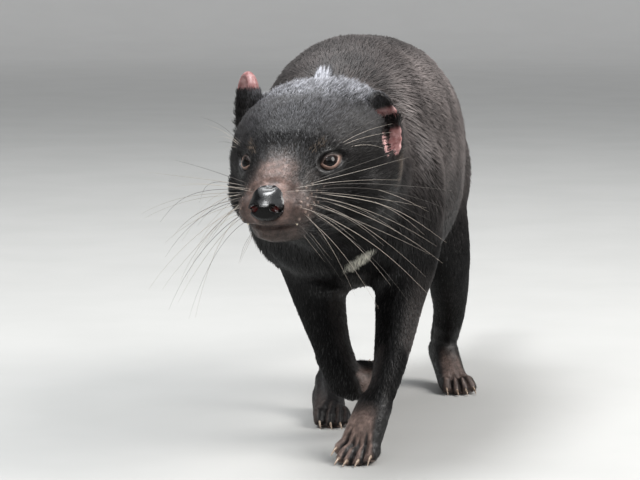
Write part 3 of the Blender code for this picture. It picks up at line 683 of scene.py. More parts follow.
class Graph:
    """Short names for making and linking the nodes of one tree."""

    def __init__(self, tree):
        self.tree = tree

    def put(self, socket, value):
        """Link a value to an input or store a plain one in it."""
        if isinstance(value, Value):
            self.tree.links.new(value.socket, socket)
        elif value is not None:
            socket.default_value = value

    def add(self, kind, inputs=(), **settings):
        """A new node, with its inputs by name or in order."""
        made = self.tree.nodes.new(kind)
        for name, value in settings.items():
            setattr(made, name, value)
        named = inputs if isinstance(inputs, dict) else dict(enumerate(inputs))
        for key, value in named.items():
            self.put(made.inputs[key], value)
        return made

    def node(self, kind, inputs=(), output=0, **settings):
        """One output of a new node."""
        return Value(self, self.add(kind, inputs, **settings).outputs[output])

    def outputs(self, made):
        """All the outputs of a node by name."""
        return {socket.name: Value(self, socket) for socket in made.outputs}

    def shade(self, looks):
        """Give the material's shader these looks."""
        shader = self.tree.nodes["Principled BSDF"]
        for name, value in looks.items():
            self.put(shader.inputs[name], value)

    def maths(self, operation, a, b=None):
        return self.node("ShaderNodeMath", (a, b), operation=operation)

    def vector(self, operation, a, b=None):
        output = "Value" if operation in ("DOT_PRODUCT", "LENGTH") else "Vector"
        return self.node("ShaderNodeVectorMath", (a, b), output, operation=operation)

    def dot(self, place, axis):
        return self.vector("DOT_PRODUCT", place, tuple(axis))

    def scale(self, vector, factor):
        return self.node("ShaderNodeVectorMath", {0: vector, "Scale": factor}, operation="SCALE")

    def join(self, x, y, z):
        return self.node("ShaderNodeCombineXYZ", (x, y, z))

    def ramp(self, value, low, high, to_low=0.0, to_high=1.0):
        """A smooth step from one value to another between low and high."""
        inputs = (value, low, high, to_low, to_high)
        return self.node("ShaderNodeMapRange", inputs, interpolation_type="SMOOTHSTEP")

    def ball(self, place, centre, sizes, edge=0.25):
        """1 inside an ellipsoid, 0 outside, with a soft edge."""
        away = self.vector("DIVIDE", self.vector("SUBTRACT", place, tuple(centre)), tuple(sizes))
        return self.ramp(self.vector("LENGTH", away), 1 - edge, 1 + edge, 1.0, 0.0)

    def most(self, first, *others):
        """The largest of several masks."""
        for other in others:
            first = self.maths("MAXIMUM", first, other)
        return first

    def mix(self, factor, a, b):
        """From colour a at 0 to colour b at 1."""
        a, b = ((*value, 1) if isinstance(value, tuple) else value for value in (a, b))
        return self.node("ShaderNodeMix", {"Factor": factor, "A": a, "B": b}, "Result", data_type="RGBA")

    def noise(self, place, scale, detail=3.0, roughness=0.55):
        inputs = {"Vector": place, "Scale": scale, "Detail": detail, "Roughness": roughness}
        return self.node("ShaderNodeTexNoise", inputs, "Fac")

    def bump(self, height, strength, distance, normal=None):
        inputs = {"Height": height, "Strength": strength, "Distance": distance, "Normal": normal}
        return self.node("ShaderNodeBump", inputs, "Normal")

    def attribute(self, name):
        return self.node("ShaderNodeAttribute", output="Fac", attribute_name=name)


def new_group(name, inputs, outputs):
    """A shader node group with these sockets, and its input and output nodes."""
    tree = bpy.data.node_groups.new(name, "ShaderNodeTree")
    for label, kind, default in inputs:
        made = tree.interface.new_socket(label, in_out="INPUT", socket_type=kind)
        if default is not None:
            made.default_value = default
    for label, kind in outputs:
        tree.interface.new_socket(label, in_out="OUTPUT", socket_type=kind)
    return tree, tree.nodes.new("NodeGroupInput"), tree.nodes.new("NodeGroupOutput")


def markings_group():
    """The devil's markings, read from a place on it: colours for the hair, its tips and the skin, with
    painted light and shade on the muzzle, back, shoulders and crown, and painted shade under the nose and
    jaw.
    """
    tree = bpy.data.node_groups.get("Devil markings")
    if tree is not None:
        return tree
    coat, skin = bpy.context.scene.devil_coat, bpy.context.scene.devil_skin
    colours = {
        "Coat": coat.black,
        "Faded": coat.brown,
        "Silver": coat.silver,
        "White": coat.white,
        "Tan": coat.tan,
        "Muzzle": skin.pink,
        "Paw": skin.paw,
        "Ear": skin.ear,
        "Under": skin.under,
    }
    colour, number = "NodeSocketColor", "NodeSocketFloat"
    inputs = [("Place", "NodeSocketVector", None)]
    inputs += [(name, number, 0.0) for name in ("Foot", "Thin", "Stray")]
    inputs += [(name, colour, (*value, 1)) for name, value in colours.items()]
    outputs = [("Hair", colour), ("Frost", number), ("Skin", colour), ("Bare", number)]
    tree, source, sink = new_group("Devil markings", inputs, outputs)
    graph = Graph(tree)
    given = graph.outputs(source)
    place, foot = given["Place"], given["Foot"]

    # Places in the head's axes, with its right half laid over its left, and strayed for ragged edges
    from_eyes = graph.vector("SUBTRACT", place, tuple(HEAD))
    local = [graph.dot(from_eyes, TURN.col[i]) for i in range(3)]
    sides = graph.join(*local)
    halves = graph.join(abs(local[0]), local[1], local[2])
    strayed = graph.noise(place, 110.0, 5.0, 0.65) - 0.5 + given["Stray"] * 0.80
    here = graph.vector("ADD", halves, graph.scale((0.016, 0.010, 0.016), strayed))

    mark = {name: graph.ball(here, *region) for name, region in MARKS.items()}
    corner = graph.ball(halves, *BARE_CORNER)
    nose_shadow = graph.ball(halves, *NOSE_SHADOW_PLACE)
    nape = graph.ball(sides, NAPE, NAPE_SIZES, 0.35)
    bare = graph.most(mark["muzzle"], mark["bridge"] * 0.80, mark["tear"] * 0.55)
    sparse_fur = graph.most(bare, mark["chin"] * 0.70, foot)
    bare = graph.most(sparse_fur, corner)

    # Painted light and shade on the bare muzzle: palest at its middle, its top and its front, where the
    # light falls, and darker towards its sides, its back and its bottom
    painted_muzzle_light = graph.ramp(abs(local[0]), 0.007, 0.021, 0.88, 0.32)
    painted_muzzle_light = painted_muzzle_light * graph.ramp(local[1], -0.028, -0.017, 1.0, 0.32)
    painted_muzzle_light = painted_muzzle_light * graph.ramp(local[2], -0.052, -0.030, 0.45, 1.0)

    # The leaning blaze, on the front of the chest only
    from_blaze = graph.vector("SUBTRACT", place, tuple(BLAZE))
    cos, sin = math.cos(BLAZE_LEAN), math.sin(BLAZE_LEAN)
    along = graph.dot(from_blaze, (cos, 0, sin)) / BLAZE_HALF[0]
    above = graph.dot(from_blaze, (-sin, 0, cos)) / BLAZE_HALF[1]
    away = along * along + above * above + strayed * 2.6
    front = graph.ramp(graph.dot(place, (0, 1, 0)), -0.19, -0.16, 1.0, 0.0)
    blaze = graph.ramp(away, 0.4, 1.7, 1.0, 0.0) * front

    # Partly the faded brown of the coat and partly painted sheen: lighter, in patches, high on the body and
    # towards its back, where the light falls from above; the thin coat of the inner forelegs takes it too,
    # partly as a painted highlight along the tendon
    behind = graph.ramp(graph.dot(place, (0, 1, 0)), -0.26, -0.19)
    high = graph.ramp(graph.dot(place, (0.30, 0.10, 1)), 0.15, 0.27)
    patchy = graph.ramp(graph.noise(place, 14.0, 3.0), 0.35, 0.75, 0.45, 1.0)
    faded_and_sheen = graph.most(high * patchy * graph.most(behind, 0.25), given["Thin"] * 0.8)
    hair = graph.mix(faded_and_sheen, given["Coat"], given["Faded"])
    # Painted sheen: lighter still on the upper sides of the back and shoulders, where the light falls from
    # the side
    painted_shoulder_sheen = graph.ramp(abs(graph.dot(place, (1, 0, 0))), 0.045, 0.080) * (high * behind)
    hair = graph.scale(hair, 1.0 + painted_shoulder_sheen * 1.7)
    hair = graph.mix(nape * 0.60, hair, given["Silver"])
    hair = graph.mix(blaze, hair, given["White"])
    hair = graph.mix(graph.most(mark["brow"] * 0.60, mark["under_ear"] * 0.45), hair, given["Tan"])
    # The muzzle's sparse hair takes the same painted light and shade
    sparse = graph.scale(graph.mix(0.65, given["Muzzle"], SPARSE_HAIR), painted_muzzle_light)
    # The chin's own dark hair, with painted shade under the jaw
    sparse = graph.mix(mark["chin"], sparse, CHIN_HAIR)
    paw_hair = graph.mix(0.62, given["Coat"], given["Paw"])
    hair = graph.mix(sparse_fur, hair, graph.mix(foot, sparse, paw_hair))

    # The bare skin of the muzzle, with its painted light and shade, and of the feet
    skin = graph.mix(foot, graph.scale(given["Muzzle"], painted_muzzle_light), given["Paw"])
    skin = graph.mix(corner, skin, given["Ear"])
    # The lower lip and chin: their own dark skin and painted shade under the jaw
    skin = graph.mix(graph.most(mark["lip"], mark["chin"]), skin, LIP_SKIN)
    # Painted shadow under the nose pad
    skin = graph.mix(nose_shadow, skin, NOSE_SHADOW_COLOUR)
    blotch = graph.ramp(graph.noise(place, 190.0, 4.0), 0.30, 0.75, 0.50, 1.40)
    skin = graph.mix(bare, given["Under"], graph.scale(skin, blotch))
    skin = graph.mix(blaze * 0.6, skin, given["White"])

    # Pale streaky tips on the crown and forehead: partly the hair's own frosted tips and partly painted
    # sheen on the top of the head; the nape's tuft is pale hair
    streaks = graph.noise(graph.vector("MULTIPLY", sides, (1.0, 0.22, 1.0)), 240.0, 4.0, 0.7)
    frost_and_sheen = (mark["forehead"] + mark["crown"] * 3.8) * 0.29
    frost_and_sheen = frost_and_sheen * graph.ramp(streaks, 0.32, 0.68, 0.45, 1.40)
    frost_and_sheen = graph.most(frost_and_sheen, nape) * (1.0 - bare)
    for name, value in {"Hair": hair, "Frost": frost_and_sheen, "Skin": skin, "Bare": bare}.items():
        graph.put(sink.inputs[name], value)
    return tree


def new_material(name):
    """A material, its graph and the place on the animal."""
    made = bpy.data.materials.new("devil_" + name)
    made.use_nodes = True
    graph = Graph(made.node_tree)
    return made, graph, graph.node("ShaderNodeTexCoord", output="Object")


def markings_in(graph, place, stray=None):
    """The markings placed in a material; each tuft reads them from a place a little to one side."""
    foot, thin = graph.attribute("foot"), graph.attribute("thin")
    inputs = {"Stray": stray, "Place": place, "Foot": foot, "Thin": thin}
    made = graph.add("ShaderNodeGroup", node_tree=markings_group())
    for name, value in inputs.items():
        graph.put(made.inputs[name], value)
    return graph.outputs(made)


def fur_material():
    """Hair that is darker at its root, lighter towards its tip and different from tuft to tuft."""
    made, graph, place = new_material("fur")
    along, tint = graph.attribute("along"), graph.attribute("tint")
    marks = markings_in(graph, place, tint - 0.5)
    level = graph.ramp(along, 0, 1, 0.55, 1.25) * graph.ramp(tint, 0, 1, 0.45, 1.65)
    colour = graph.scale(marks["Hair"], level)
    # The pale tips, partly frosted hair and partly painted sheen on the top of the head, towards each
    # tuft's tip
    frost_and_sheen = marks["Frost"] * (along * along) * graph.ramp(tint, 0.0, 0.8, 0.15, 1.0)
    colour = graph.mix(frost_and_sheen, colour, tuple(bpy.context.scene.devil_coat.silver))
    grey = graph.ramp(tint, 0.86, 0.98, 0.0, 0.22) * along
    graph.shade({
        "Base Color": graph.mix(grey, colour, GREY_HAIR),
        "Roughness": graph.ramp(tint, 0, 1, 0.33, 0.48),
        "Specular IOR Level": 0.16,
    })
    return made


def skin_material():
    """Bare skin with pores and creases on the muzzle and feet, and dark skin under the coat."""
    made, graph, place = new_material("skin")
    colour = graph.mix(graph.attribute("spot") * 0.60, markings_in(graph, place)["Skin"], WHISKER_SPOT)
    # The lids' own rim colour, with less of it on the upper lids as painted shade
    colour = graph.mix(graph.attribute("rim"), colour, tuple(bpy.context.scene.devil_skin.rim))
    pores = graph.noise(place, 900.0, 3.0)
    creases = graph.noise(graph.vector("MULTIPLY", place, (1.0, 0.45, 1.0)), 330.0, 4.0, 0.6)
    graph.shade({
        "Base Color": graph.mix(graph.attribute("lip") * 0.9, colour, MOUTH_EDGE),
        "Roughness": graph.ramp(creases, 0.3, 0.7, 0.38, 0.60),
        "Normal": graph.bump(pores, 0.40, 0.3 * MM, graph.bump(creases, 0.60, 1.0 * MM)),
    })
    return made


def ear_material():
    """Thin pink skin, mottled and darker in its folds and, as painted shade, deep in its cup, and dark
    where the fur covers it.
    """
    made, graph, place = new_material("ear_skin")
    mottled = graph.ramp(graph.noise(place, 170.0, 4.0, 0.65), 0.35, 0.68)
    pink = graph.mix(mottled, EAR_FLUSH, tuple(bpy.context.scene.devil_skin.ear))
    # The folds' darker red also carries the painted shade deep in the cup
    red = graph.mix(graph.attribute("fold"), pink, EAR_FOLD_AND_SHADE)
    graph.shade({
        "Base Color": graph.mix(graph.attribute("pink"), EAR_UNDER_FUR, red),
        "Normal": graph.bump(graph.noise(place, 500.0, 3.0), 0.35, 0.5 * MM),
        "Roughness": 0.42,
    })
    return made


def nose_material():
    """Moist black skin with a fine pebbled grain and dark red nostrils."""
    made, graph, place = new_material("nose")
    grain = graph.node("ShaderNodeTexVoronoi", {"Vector": place, "Scale": 1100.0}, "Distance")
    graph.shade({
        "Base Color": graph.mix(graph.attribute("hollow"), NOSE_BLACK, NOSTRIL_RED),
        "Roughness": graph.ramp(graph.noise(place, 220.0), 0.3, 0.7, 0.16, 0.30),
        "Coat Weight": graph.attribute("gloss"),
        "Coat Roughness": 0.19,
        "Coat IOR": 1.6,
        "Specular IOR Level": 0.12,
        "Normal": graph.bump(grain, 0.30, 0.4 * MM),
    })
    return made


def eye_material(name, node):
    """A dark brown iris with a black pupil under a clear, wet front."""
    made, graph, place = new_material(name)
    look = (TURN @ EYE_LOOK[node]).normalized()
    out = graph.vector("NORMALIZE", graph.vector("SUBTRACT", place, tuple(middle_of(node))))
    turn = graph.dot(out, look)
    fibres = graph.ramp(graph.noise(place, 900.0, 3.0), 0.3, 0.7, 0.6, 1.5)
    colour = graph.mix(graph.ramp(turn, 0.62, 0.72), EYE_DARK, graph.scale(IRIS_BROWN, fibres))
    graph.shade({
        "Base Color": graph.mix(graph.ramp(turn, 0.935, 0.955), colour, PUPIL_BLACK),
        "Roughness": 0.30,
        "Specular IOR Level": 0.03,
        "Coat Weight": 0.7,
        "Coat IOR": 1.35,
        "Coat Roughness": 0.03,
    })
    return made


def horn_material(name, light, dark, roughness):
    """Horn or ivory with fine streaks."""
    made, graph, place = new_material(name)
    streaks = graph.noise(graph.vector("MULTIPLY", place, (1, 0.3, 0.6)), 700.0, 3.0)
    graph.shade({
        "Base Color": graph.mix(graph.ramp(streaks, 0.3, 0.7), dark, light),
        "Normal": graph.bump(streaks, 0.2, 0.2 * MM),
        "Roughness": roughness,
    })
    return made


def whisker_material():
    """Stiff hair, dark at the root and pale along its length."""
    made, graph, _ = new_material("whisker")
    pale = graph.mix(graph.attribute("tint"), WHISKER_DARK, WHISKER_PALE)
    root = graph.ramp(graph.attribute("along"), 0.0, 0.14)
    graph.shade({"Base Color": graph.mix(root, WHISKER_ROOT, pale), "Roughness": 0.32})
    return made


def material(name, maker, *values):
    """The material of this name, made on its first use."""
    return bpy.data.materials.get("devil_" + name) or maker(*values)


# The skin


def mouth_height(y):
    """The height of the line of the mouth at a distance back from the eyes, in the head's axes."""
    return np.interp(y, *zip(*MOUTH_LINE))


def part_weights(points):
    """How far each point belongs to each part, from the nearest node."""
    rows, owner = [], []
    for index, names in enumerate(PARTS.values()):
        for node in names:
            rows.append(numbers(NODES[node].data.vertices, "co"))
            owner += [index] * len(rows[-1])
    return np.eye(len(PARTS))[np.array(owner)[nearest(points, np.vstack(rows))]]


def share_of(weights, part):
    """The column of one part."""
    return weights[:, list(PARTS).index(part)]


def end_of(node, place, count):
    """The middle of the node's points that are nearest to a place."""
    rows = numbers(NODES[node].data.vertices, "co")
    return rows[np.argsort(np.linalg.norm(rows - place, axis=1))[:count]].mean(axis=0)


def claws_of(foot):
    """The claw nodes of a foot, in order."""
    return sorted(name for name in NODES if name.startswith(foot.replace("foot", "claw")))


def toe_lines():
    """For each foot: its wrist, and the roots of its claws."""
    lines = []
    for foot in PARTS["foot"]:
        centre = np.array(middle_of(foot))
        wrist = end_of(foot.replace("foot", "leg"), centre, 14)
        lines.append((wrist, np.array([end_of(claw, centre, 6) for claw in claws_of(foot)])))
    return lines


def nearest_foot(points):
    """Each point's foot as a number, with the feet's wrists and their ways to the toes."""
    feet = toe_lines()
    wrists = np.array([wrist for wrist, _ in feet])
    ways = np.array([roots.mean(axis=0) - wrist for wrist, roots in feet])
    middles = wrists + 0.5 * ways
    return np.argmin(np.linalg.norm(points[:, None] - middles[None], axis=2), axis=1), wrists, ways


def bare_feet(points, normals, weights):
    """How bare each foot is: toes, insteps and soles, and the palm of the forefoot that is lifted."""
    mine, wrists, ways = nearest_foot(points)
    way = ways[mine]
    along = np.sum((points - wrists[mine]) * way, axis=1) / np.sum(way * way, axis=1)
    across = normals[:, 0]
    masks = {
        "forefoot_left": 0.95 * smooth(0.0, 0.5, along) * smooth(0.62, -0.20, across),
        "forefoot_right": np.maximum(0.70 * ball(points, *PALM), 0.45 * smooth(0.5, 0.9, along)),
        "hindfoot_left": 0.60 * smooth(0.0, 0.45, along) * smooth(0.95, 0.35, np.abs(across - 0.15)),
        "hindfoot_right": 0.40 * smooth(0.1, 0.7, along) * smooth(0.3, -0.5, across),
    }
    bare = np.choose(mine, [masks[foot] for foot in PARTS["foot"]])
    lifted = mine == PARTS["foot"].index("forefoot_right")
    sole = np.where(lifted, 1.0, smooth(0.022, 0.012, points[:, 2]))
    bare = np.maximum(bare, 0.8 * sole * smooth(-0.35, -0.75, normals[:, 2]))
    return bare * smooth(0.35, 0.75, share_of(weights, "foot"))


def thin_legs(points, normals, weights):
    """How thin the coat is on the inner sides of the lower forelegs."""
    inner_side = {"forefoot_left": -1.0, "forefoot_right": 1.0}
    mine = nearest_foot(points)[0]
    inwards = np.array([inner_side.get(foot, 0.0) for foot in PARTS["foot"]])[mine]
    band = smooth(0.03, 0.06, points[:, 2]) * smooth(0.155, 0.10, points[:, 2])
    on_leg = share_of(weights, "leg") + share_of(weights, "foot")
    return smooth(0.15, 0.75, inwards * normals[:, 0]) * band * on_leg


def lie_of(points, normals, weights):
    """Which way the coat lies at each point: back from the nose, back and down, and down the legs."""
    away = unit(to_head(points) - np.array((0, -0.060, -0.030))) + np.array((0, 0.6, 0.10))
    lie = scaled(away @ TURN_ROWS.T, share_of(weights, "head"))
    chest = smooth(-0.1, -0.7, normals[:, 1])
    down = 0.22 + 0.55 * np.abs(normals[:, 0])
    trunk = np.stack([np.zeros(len(points)), 1 - 0.85 * chest, -mix(down, 1.0, chest)], axis=1)
    lie += scaled(trunk, share_of(weights, "torso") + share_of(weights, "neck"))
    tail = numbers(NODES["tail"].data.vertices, "co")
    along = tail[np.argmax(tail[:, 1])] - tail[np.argsort(tail[:, 1])[:20]].mean(axis=0)
    lie += along / np.linalg.norm(along) * share_of(weights, "tail")[:, None]
    lie += np.array((0, 0.18, -1.0)) * share_of(weights, "leg")[:, None]
    mine, _, ways = nearest_foot(points)
    lie += scaled(unit(ways)[mine], share_of(weights, "foot"))
    return lie


def coat_of(points, normals, weights):
    """The coat's depth, length, width, rise and density at each point."""
    table = weights @ np.array([COAT[name] for name in PARTS])
    depth, length, width, rise, density = table.T.copy()
    on_head = share_of(weights, "head")
    on_leg = share_of(weights, "leg") + share_of(weights, "foot")
    head = to_head(points)
    region = {name: ball(folded(head), *place) for name, place in COAT_REGIONS.items()}
    nape = ball(head, NAPE, NAPE_SIZES, 0.35)

    # The head's coat is short at the face, and long on the cheeks, the crown and the nape
    back = smooth(-0.030, 0.055, head[:, 1])
    length = mix(length, 3.2 + 5.8 * back, on_head)
    depth = mix(depth, 1.1 + 2.0 * back, on_head)
    width = mix(width, 0.42 + 0.28 * back, on_head)
    cheek = region["cheek"] * on_head
    length += 3.0 * cheek
    rise += 0.05 * cheek
    length += 3.0 * region["crown"] * (1 - nape)
    rise += 0.22 * region["crown"] + 1.0 * nape
    width *= 1 - 0.38 * region["crown"]
    density *= 1 + 1.5 * nape

    # Down on the muzzle, the chin and round the eyes
    muzzle = np.maximum(region["muzzle"], 0.80 * region["bridge"])
    bare = np.maximum(muzzle, np.maximum(region["eye"], 0.8 * region["chin"])) * on_head
    length = mix(length, 1.5, bare)
    depth = mix(depth, 0.5, bare)
    width = mix(width, 0.20, bare)
    rise = mix(rise, 0.24, bare)
    density = mix(density, 0.85, bare)

    # Thin and short on the lower legs, and none under the soles, in the ears and on the nose
    thin = thin_legs(points, normals, weights)
    length *= 1 - 0.45 * thin
    density *= 1 - 0.35 * thin
    low = smooth(0.135, 0.045, points[:, 2]) * on_leg
    length = mix(length, np.minimum(length, 5.0), low)
    depth = mix(depth, np.minimum(depth, 1.3), low)
    width = mix(width, np.minimum(width, 0.65), low)
    sole = smooth(-0.55, -0.85, normals[:, 2]) * smooth(0.02, 0.008, points[:, 2]) * on_leg
    density *= 1 - 0.97 * sole
    density *= 1 - 0.99 * region["corner"]
    length *= 1 - 0.60 * region["before_ear"]
    density *= 1 - 0.98 * region["nose"]
    return depth * MM, length * MM, width * MM, rise, density


def whisker_spots():
    """Where the whiskers of one side leave the muzzle: row, number, and how far back and up in the head."""
    for row, count in enumerate(WHISKERS_IN_ROW):
        for number in range(count):
            y = -0.0450 + 0.0068 * number + 0.0030 * (row % 2)
            z = -0.0180 - 0.0052 * row + 0.0016 * number
            yield row, number, y, z


def skin_fillers():
    """Shapes that close the sockets of the eyes, nose, ears and whisker pads."""
    made = [ellipsoid(middle_of(node), [EYE_RADIUS + 0.25 * MM] * 3) for node in EYE_LOOK]
    nose = from_head(NOSE_PLACE + Vector((0, 3.0 * MM, 0)))
    made.append(ellipsoid(nose, (12.6 * MM, 7.0 * MM, 10.2 * MM), TURN))
    for side in (-1, 1):
        axes = TURN @ facing(sided(PAD_OUT, side), (0, 0, 1))
        made.append(ellipsoid(from_head(sided(PAD_PLACE, side)), (8.4 * MM, 4.8 * MM, 8.4 * MM), axes))
    for node, up in EAR_UP.items():
        inwards = Vector((math.copysign(1, HEAD.x - middle_of(node).x), 0.2, 0))
        centre = middle_of(node) + inwards * 9 * MM - up.normalized() * 9 * MM
        axes = facing(EAR_OPENS[node].normalized(), up)
        made.append(ellipsoid(centre, (15 * MM, 13 * MM, 20 * MM), axes))
    return made


def subdivide_where(piece, mask):
    """Halve the edges whose two ends are in the mask."""
    shape = bmesh.new()
    shape.from_mesh(piece.data)
    shape.verts.ensure_lookup_table()
    edges = [edge for edge in shape.edges if mask[edge.verts[0].index] and mask[edge.verts[1].index]]
    bmesh.ops.subdivide_edges(shape, edges=edges, cuts=1, use_grid_fill=True)
    shape.to_mesh(piece.data)
    shape.free()


def in_face(points, limit):
    """Which points are on the front of the head, as far back from the eyes as the limit."""
    head = to_head(points)
    return (head[:, 1] < limit) & (np.abs(head[:, 0]) < 0.060) & (np.abs(head[:, 2]) < 0.075)


def in_feet(points, margin):
    """Which points are in the boxes of the feet or this near to them."""
    inside = np.zeros(len(points), bool)
    for low, high in [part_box(node) for node in PARTS["foot"]]:
        inside |= np.all((points > np.array(low) - margin) & (points < np.array(high) + margin), axis=1)
    return inside


def refined(piece, tree):
    """The skin sampled finer at the face, feet and claws, where it is laid on a finer surface."""
    points = numbers(piece.data.vertices, "co")
    subdivide_where(piece, in_feet(points, 0.003) | in_face(points, 0.030))
    subdivide_where(piece, in_face(numbers(piece.data.vertices, "co"), 0.010))
    claw_roots = np.vstack([roots for _, roots in toe_lines()])
    apart = numbers(piece.data.vertices, "co")[:, None] - claw_roots[None]
    subdivide_where(piece, np.min(np.linalg.norm(apart, axis=2), axis=1) < 0.019)
    surface = Surface(piece.data)
    points = surface.points
    for index in np.nonzero(in_feet(points, 0.004) | in_face(points, 0.034))[0]:
        points[index] = tree.find_nearest(points[index])[0]
    surface.soften(1)
    return surface


def sculpt_mouth(surface, head):
    """The line of the mouth with its lips; gives back how far each point is in the line."""
    fine = (head[:, 1] < 0.004) & (head[:, 2] < -0.026)
    above = head[:, 2] - mouth_height(head[:, 1])
    fade = smooth(0.002, -0.006, head[:, 1]) * fine
    groove = hill(above, 1.15 * MM)
    upper = hill(above - 3.0 * MM, 1.9 * MM)
    lower = hill(above + 3.0 * MM, 1.8 * MM)
    surface.lift((-1.9 * groove + 0.55 * upper + 0.75 * lower) * MM * fade)
    return hill(above, 1.5 * MM) * fade


def sculpt_spots(surface, head):
    """A raised spot round the root of each whisker; gives back how far each point is in one."""
    spots = np.zeros(len(head))
    near = np.nonzero((head[:, 1] < 0.0) & (head[:, 2] < -0.010) & (np.abs(head[:, 0]) > 0.012))[0]
    for side in (-1, 1):
        for _, _, y, z in whisker_spots():
            flat = np.hypot(head[near, 1] - y, head[near, 2] - z)
            here = near[(flat < 2 * MM) & (side * head[near, 0] > 0)]
            if len(here) == 0:
                continue
            root = here[np.argmax(side * head[here, 0])]
            away = np.linalg.norm(surface.points[near] - surface.points[root], axis=1)
            spots[near] = np.maximum(spots[near], hill(away, 0.95 * MM))
    surface.lift(0.5 * MM * spots)
    return spots


def sculpt_toes(surface, on_foot):
    """Toes and tendons: a rounded ridge from each claw towards the wrist, and a cleft between two toes."""
    near = np.nonzero(on_foot > 0.4)[0]
    points = surface.points[near]
    mine = nearest_foot(points)[0]
    lift = np.zeros(len(surface.points))
    for number, (wrist, roots) in enumerate(toe_lines()):
        back = wrist - roots
        from_root = points[mine == number][:, None] - roots[None]
        along = np.clip(np.sum(from_root * back, axis=2) / np.sum(back * back, axis=1), -0.2, 0.75)
        away = np.linalg.norm(from_root - along[:, :, None] * back, axis=2)
        order = np.argsort(away, axis=1)
        first, second = np.take_along_axis(away, order[:, :2], 1).T
        reach = np.take_along_axis(along, order[:, :1], 1)[:, 0]
        ridge = hill(first, 3.6 * MM) * smooth(0.75, 0.30, reach)
        knuckle = hill(reach - 0.22, 0.09) * hill(first, 4.5 * MM)
        cleft = hill(second - first, 2.4 * MM) * smooth(0.48, 0.14, reach)
        lift[near[mine == number]] = 1.1 * ridge + 0.6 * knuckle - 2.8 * cleft - 0.35
    top = smooth(-0.85, -0.35, surface.normals[:, 2])
    surface.lift(lift * on_foot * top * MM)


def eye_places(points, node):
    """Points in an eye's own axes from the middle of its opening, and their distance as shares of it."""
    look = EYE_LOOK[node]
    side = math.copysign(1, look.x)
    local = (points - np.array(middle_of(node))) @ np.array(TURN @ facing(look, EYE_UP))
    local -= np.array((side * LID_SHIFT[0], 0, LID_SHIFT[1]))
    c, s = math.cos(side * LID_SLANT), math.sin(side * LID_SLANT)
    u, v = local[:, 0] * c + local[:, 2] * s, local[:, 2] * c - local[:, 0] * s
    return local, np.hypot(u / LID_HALF[0], v / LID_HALF[1])


def sink_eyes(surface):
    """Press the skin in behind each eyeball where the lids open."""
    for node, look in EYE_LOOK.items():
        local, share = eye_places(surface.points, node)
        sink = smooth(2.00, 1.31, share) * smooth(0.004, 0.0, local[:, 1])
        back = np.array(TURN @ -look.normalized())
        surface.points += back * (3.4 * MM * sink)[:, None]


class DEVIL_OT_skin(bpy.types.Operator):
    """Fuse the solids of flesh into one skin, set in by the coat's depth, and sculpt it"""

    bl_idname = "devil.skin"
    bl_label = "Skin"

    def execute(self, context):
        fine_shape = solids(FLESH, 0.35 * MM)
        for filler in skin_fillers():
            add_shape(fine_shape, filler)
        rough_shape = fine_shape.copy()
        fine = keep_largest(fused("fine", fine_shape, CELLS["fine"], 2))
        fine.data.update()
        tree = tree_of(fine.data)
        piece = keep_largest(fused("skin", rough_shape, context.scene.devil_skin.voxel, 1))
        surface = refined(piece, tree)
        bpy.data.objects.remove(fine)

        weights = surface.spread(part_weights(surface.points), 10)
        on_foot = share_of(weights, "foot")
        depth = surface.spread(coat_of(surface.points, surface.normals, weights)[0], 3)
        surface.lift(-depth)
        surface.store()
        surface.points = surface.spread(surface.points, 2, 0.6, 1 - on_foot)
        surface.points[:, 2] = np.maximum(surface.points[:, 2], SKIN_OFF_FLOOR)
        surface.store()

        head = to_head(surface.points)
        sculpt_toes(surface, on_foot)
        spots = sculpt_spots(surface, head)
        lip = sculpt_mouth(surface, head)
        sink_eyes(surface)
        surface.lift(-5.0 * MM * ball(folded(head), *EAR_HOLLOW))
        surface.points[:, 2] = np.maximum(surface.points[:, 2], SKIN_OFF_FLOOR)
        surface.store()

        here = (surface.points, surface.normals, weights)
        lie = unit(lie_of(*here))
        lie -= scaled(surface.normals, np.sum(lie * surface.normals, axis=1))
        _, length, width, rise, density = coat_of(*here)
        values = {
            "length": length,
            "width": width,
            "rise": rise,
            "density": density * (1 - 0.85 * spots),
            "foot": bare_feet(*here),
            "thin": thin_legs(*here),
            "spot": spots,
            "lip": lip,
        }
        for name, rows in values.items():
            write(piece.data, name, rows)
        write(piece.data, "lie", unit(surface.spread(unit(lie), 12)), "FLOAT_VECTOR")
        piece.data.shade_smooth()
        finish_piece(piece, "coat", material("skin", skin_material), replaces=FLESH)
        return {"FINISHED"}


# The coat


def sampled(mesh, count, rng):
    """Places spread over the mesh by its density: corners and shares of each place's triangle."""
    mesh.calc_loop_triangles()
    corners = indices(mesh.loop_triangles, "vertices", 3)
    points = numbers(mesh.vertices, "co")
    density = read(mesh, "density")
    a, b, c = (points[corners[:, i]] for i in range(3))
    area = np.linalg.norm(np.cross(b - a, c - a), axis=1) / 2 * density[corners].mean(axis=1)
    ends = np.cumsum(area)
    marks = (np.arange(count) + rng.random(count)) / count * ends[-1]
    chosen = np.minimum(np.searchsorted(ends, marks), len(corners) - 1)
    one, two = rng.random(count), rng.random(count)
    over = one + two > 1
    one[over], two[over] = 1 - one[over], 1 - two[over]
    shares = np.stack([1 - one - two, one, two], axis=1)
    return corners[chosen], shares


def at(values, corners, shares):
    """A value of the mesh's points read at sampled places."""
    picked = values[corners]
    if picked.ndim == 2:
        return np.sum(picked * shares, axis=1)
    return np.sum(picked * shares[:, :, None], axis=1)


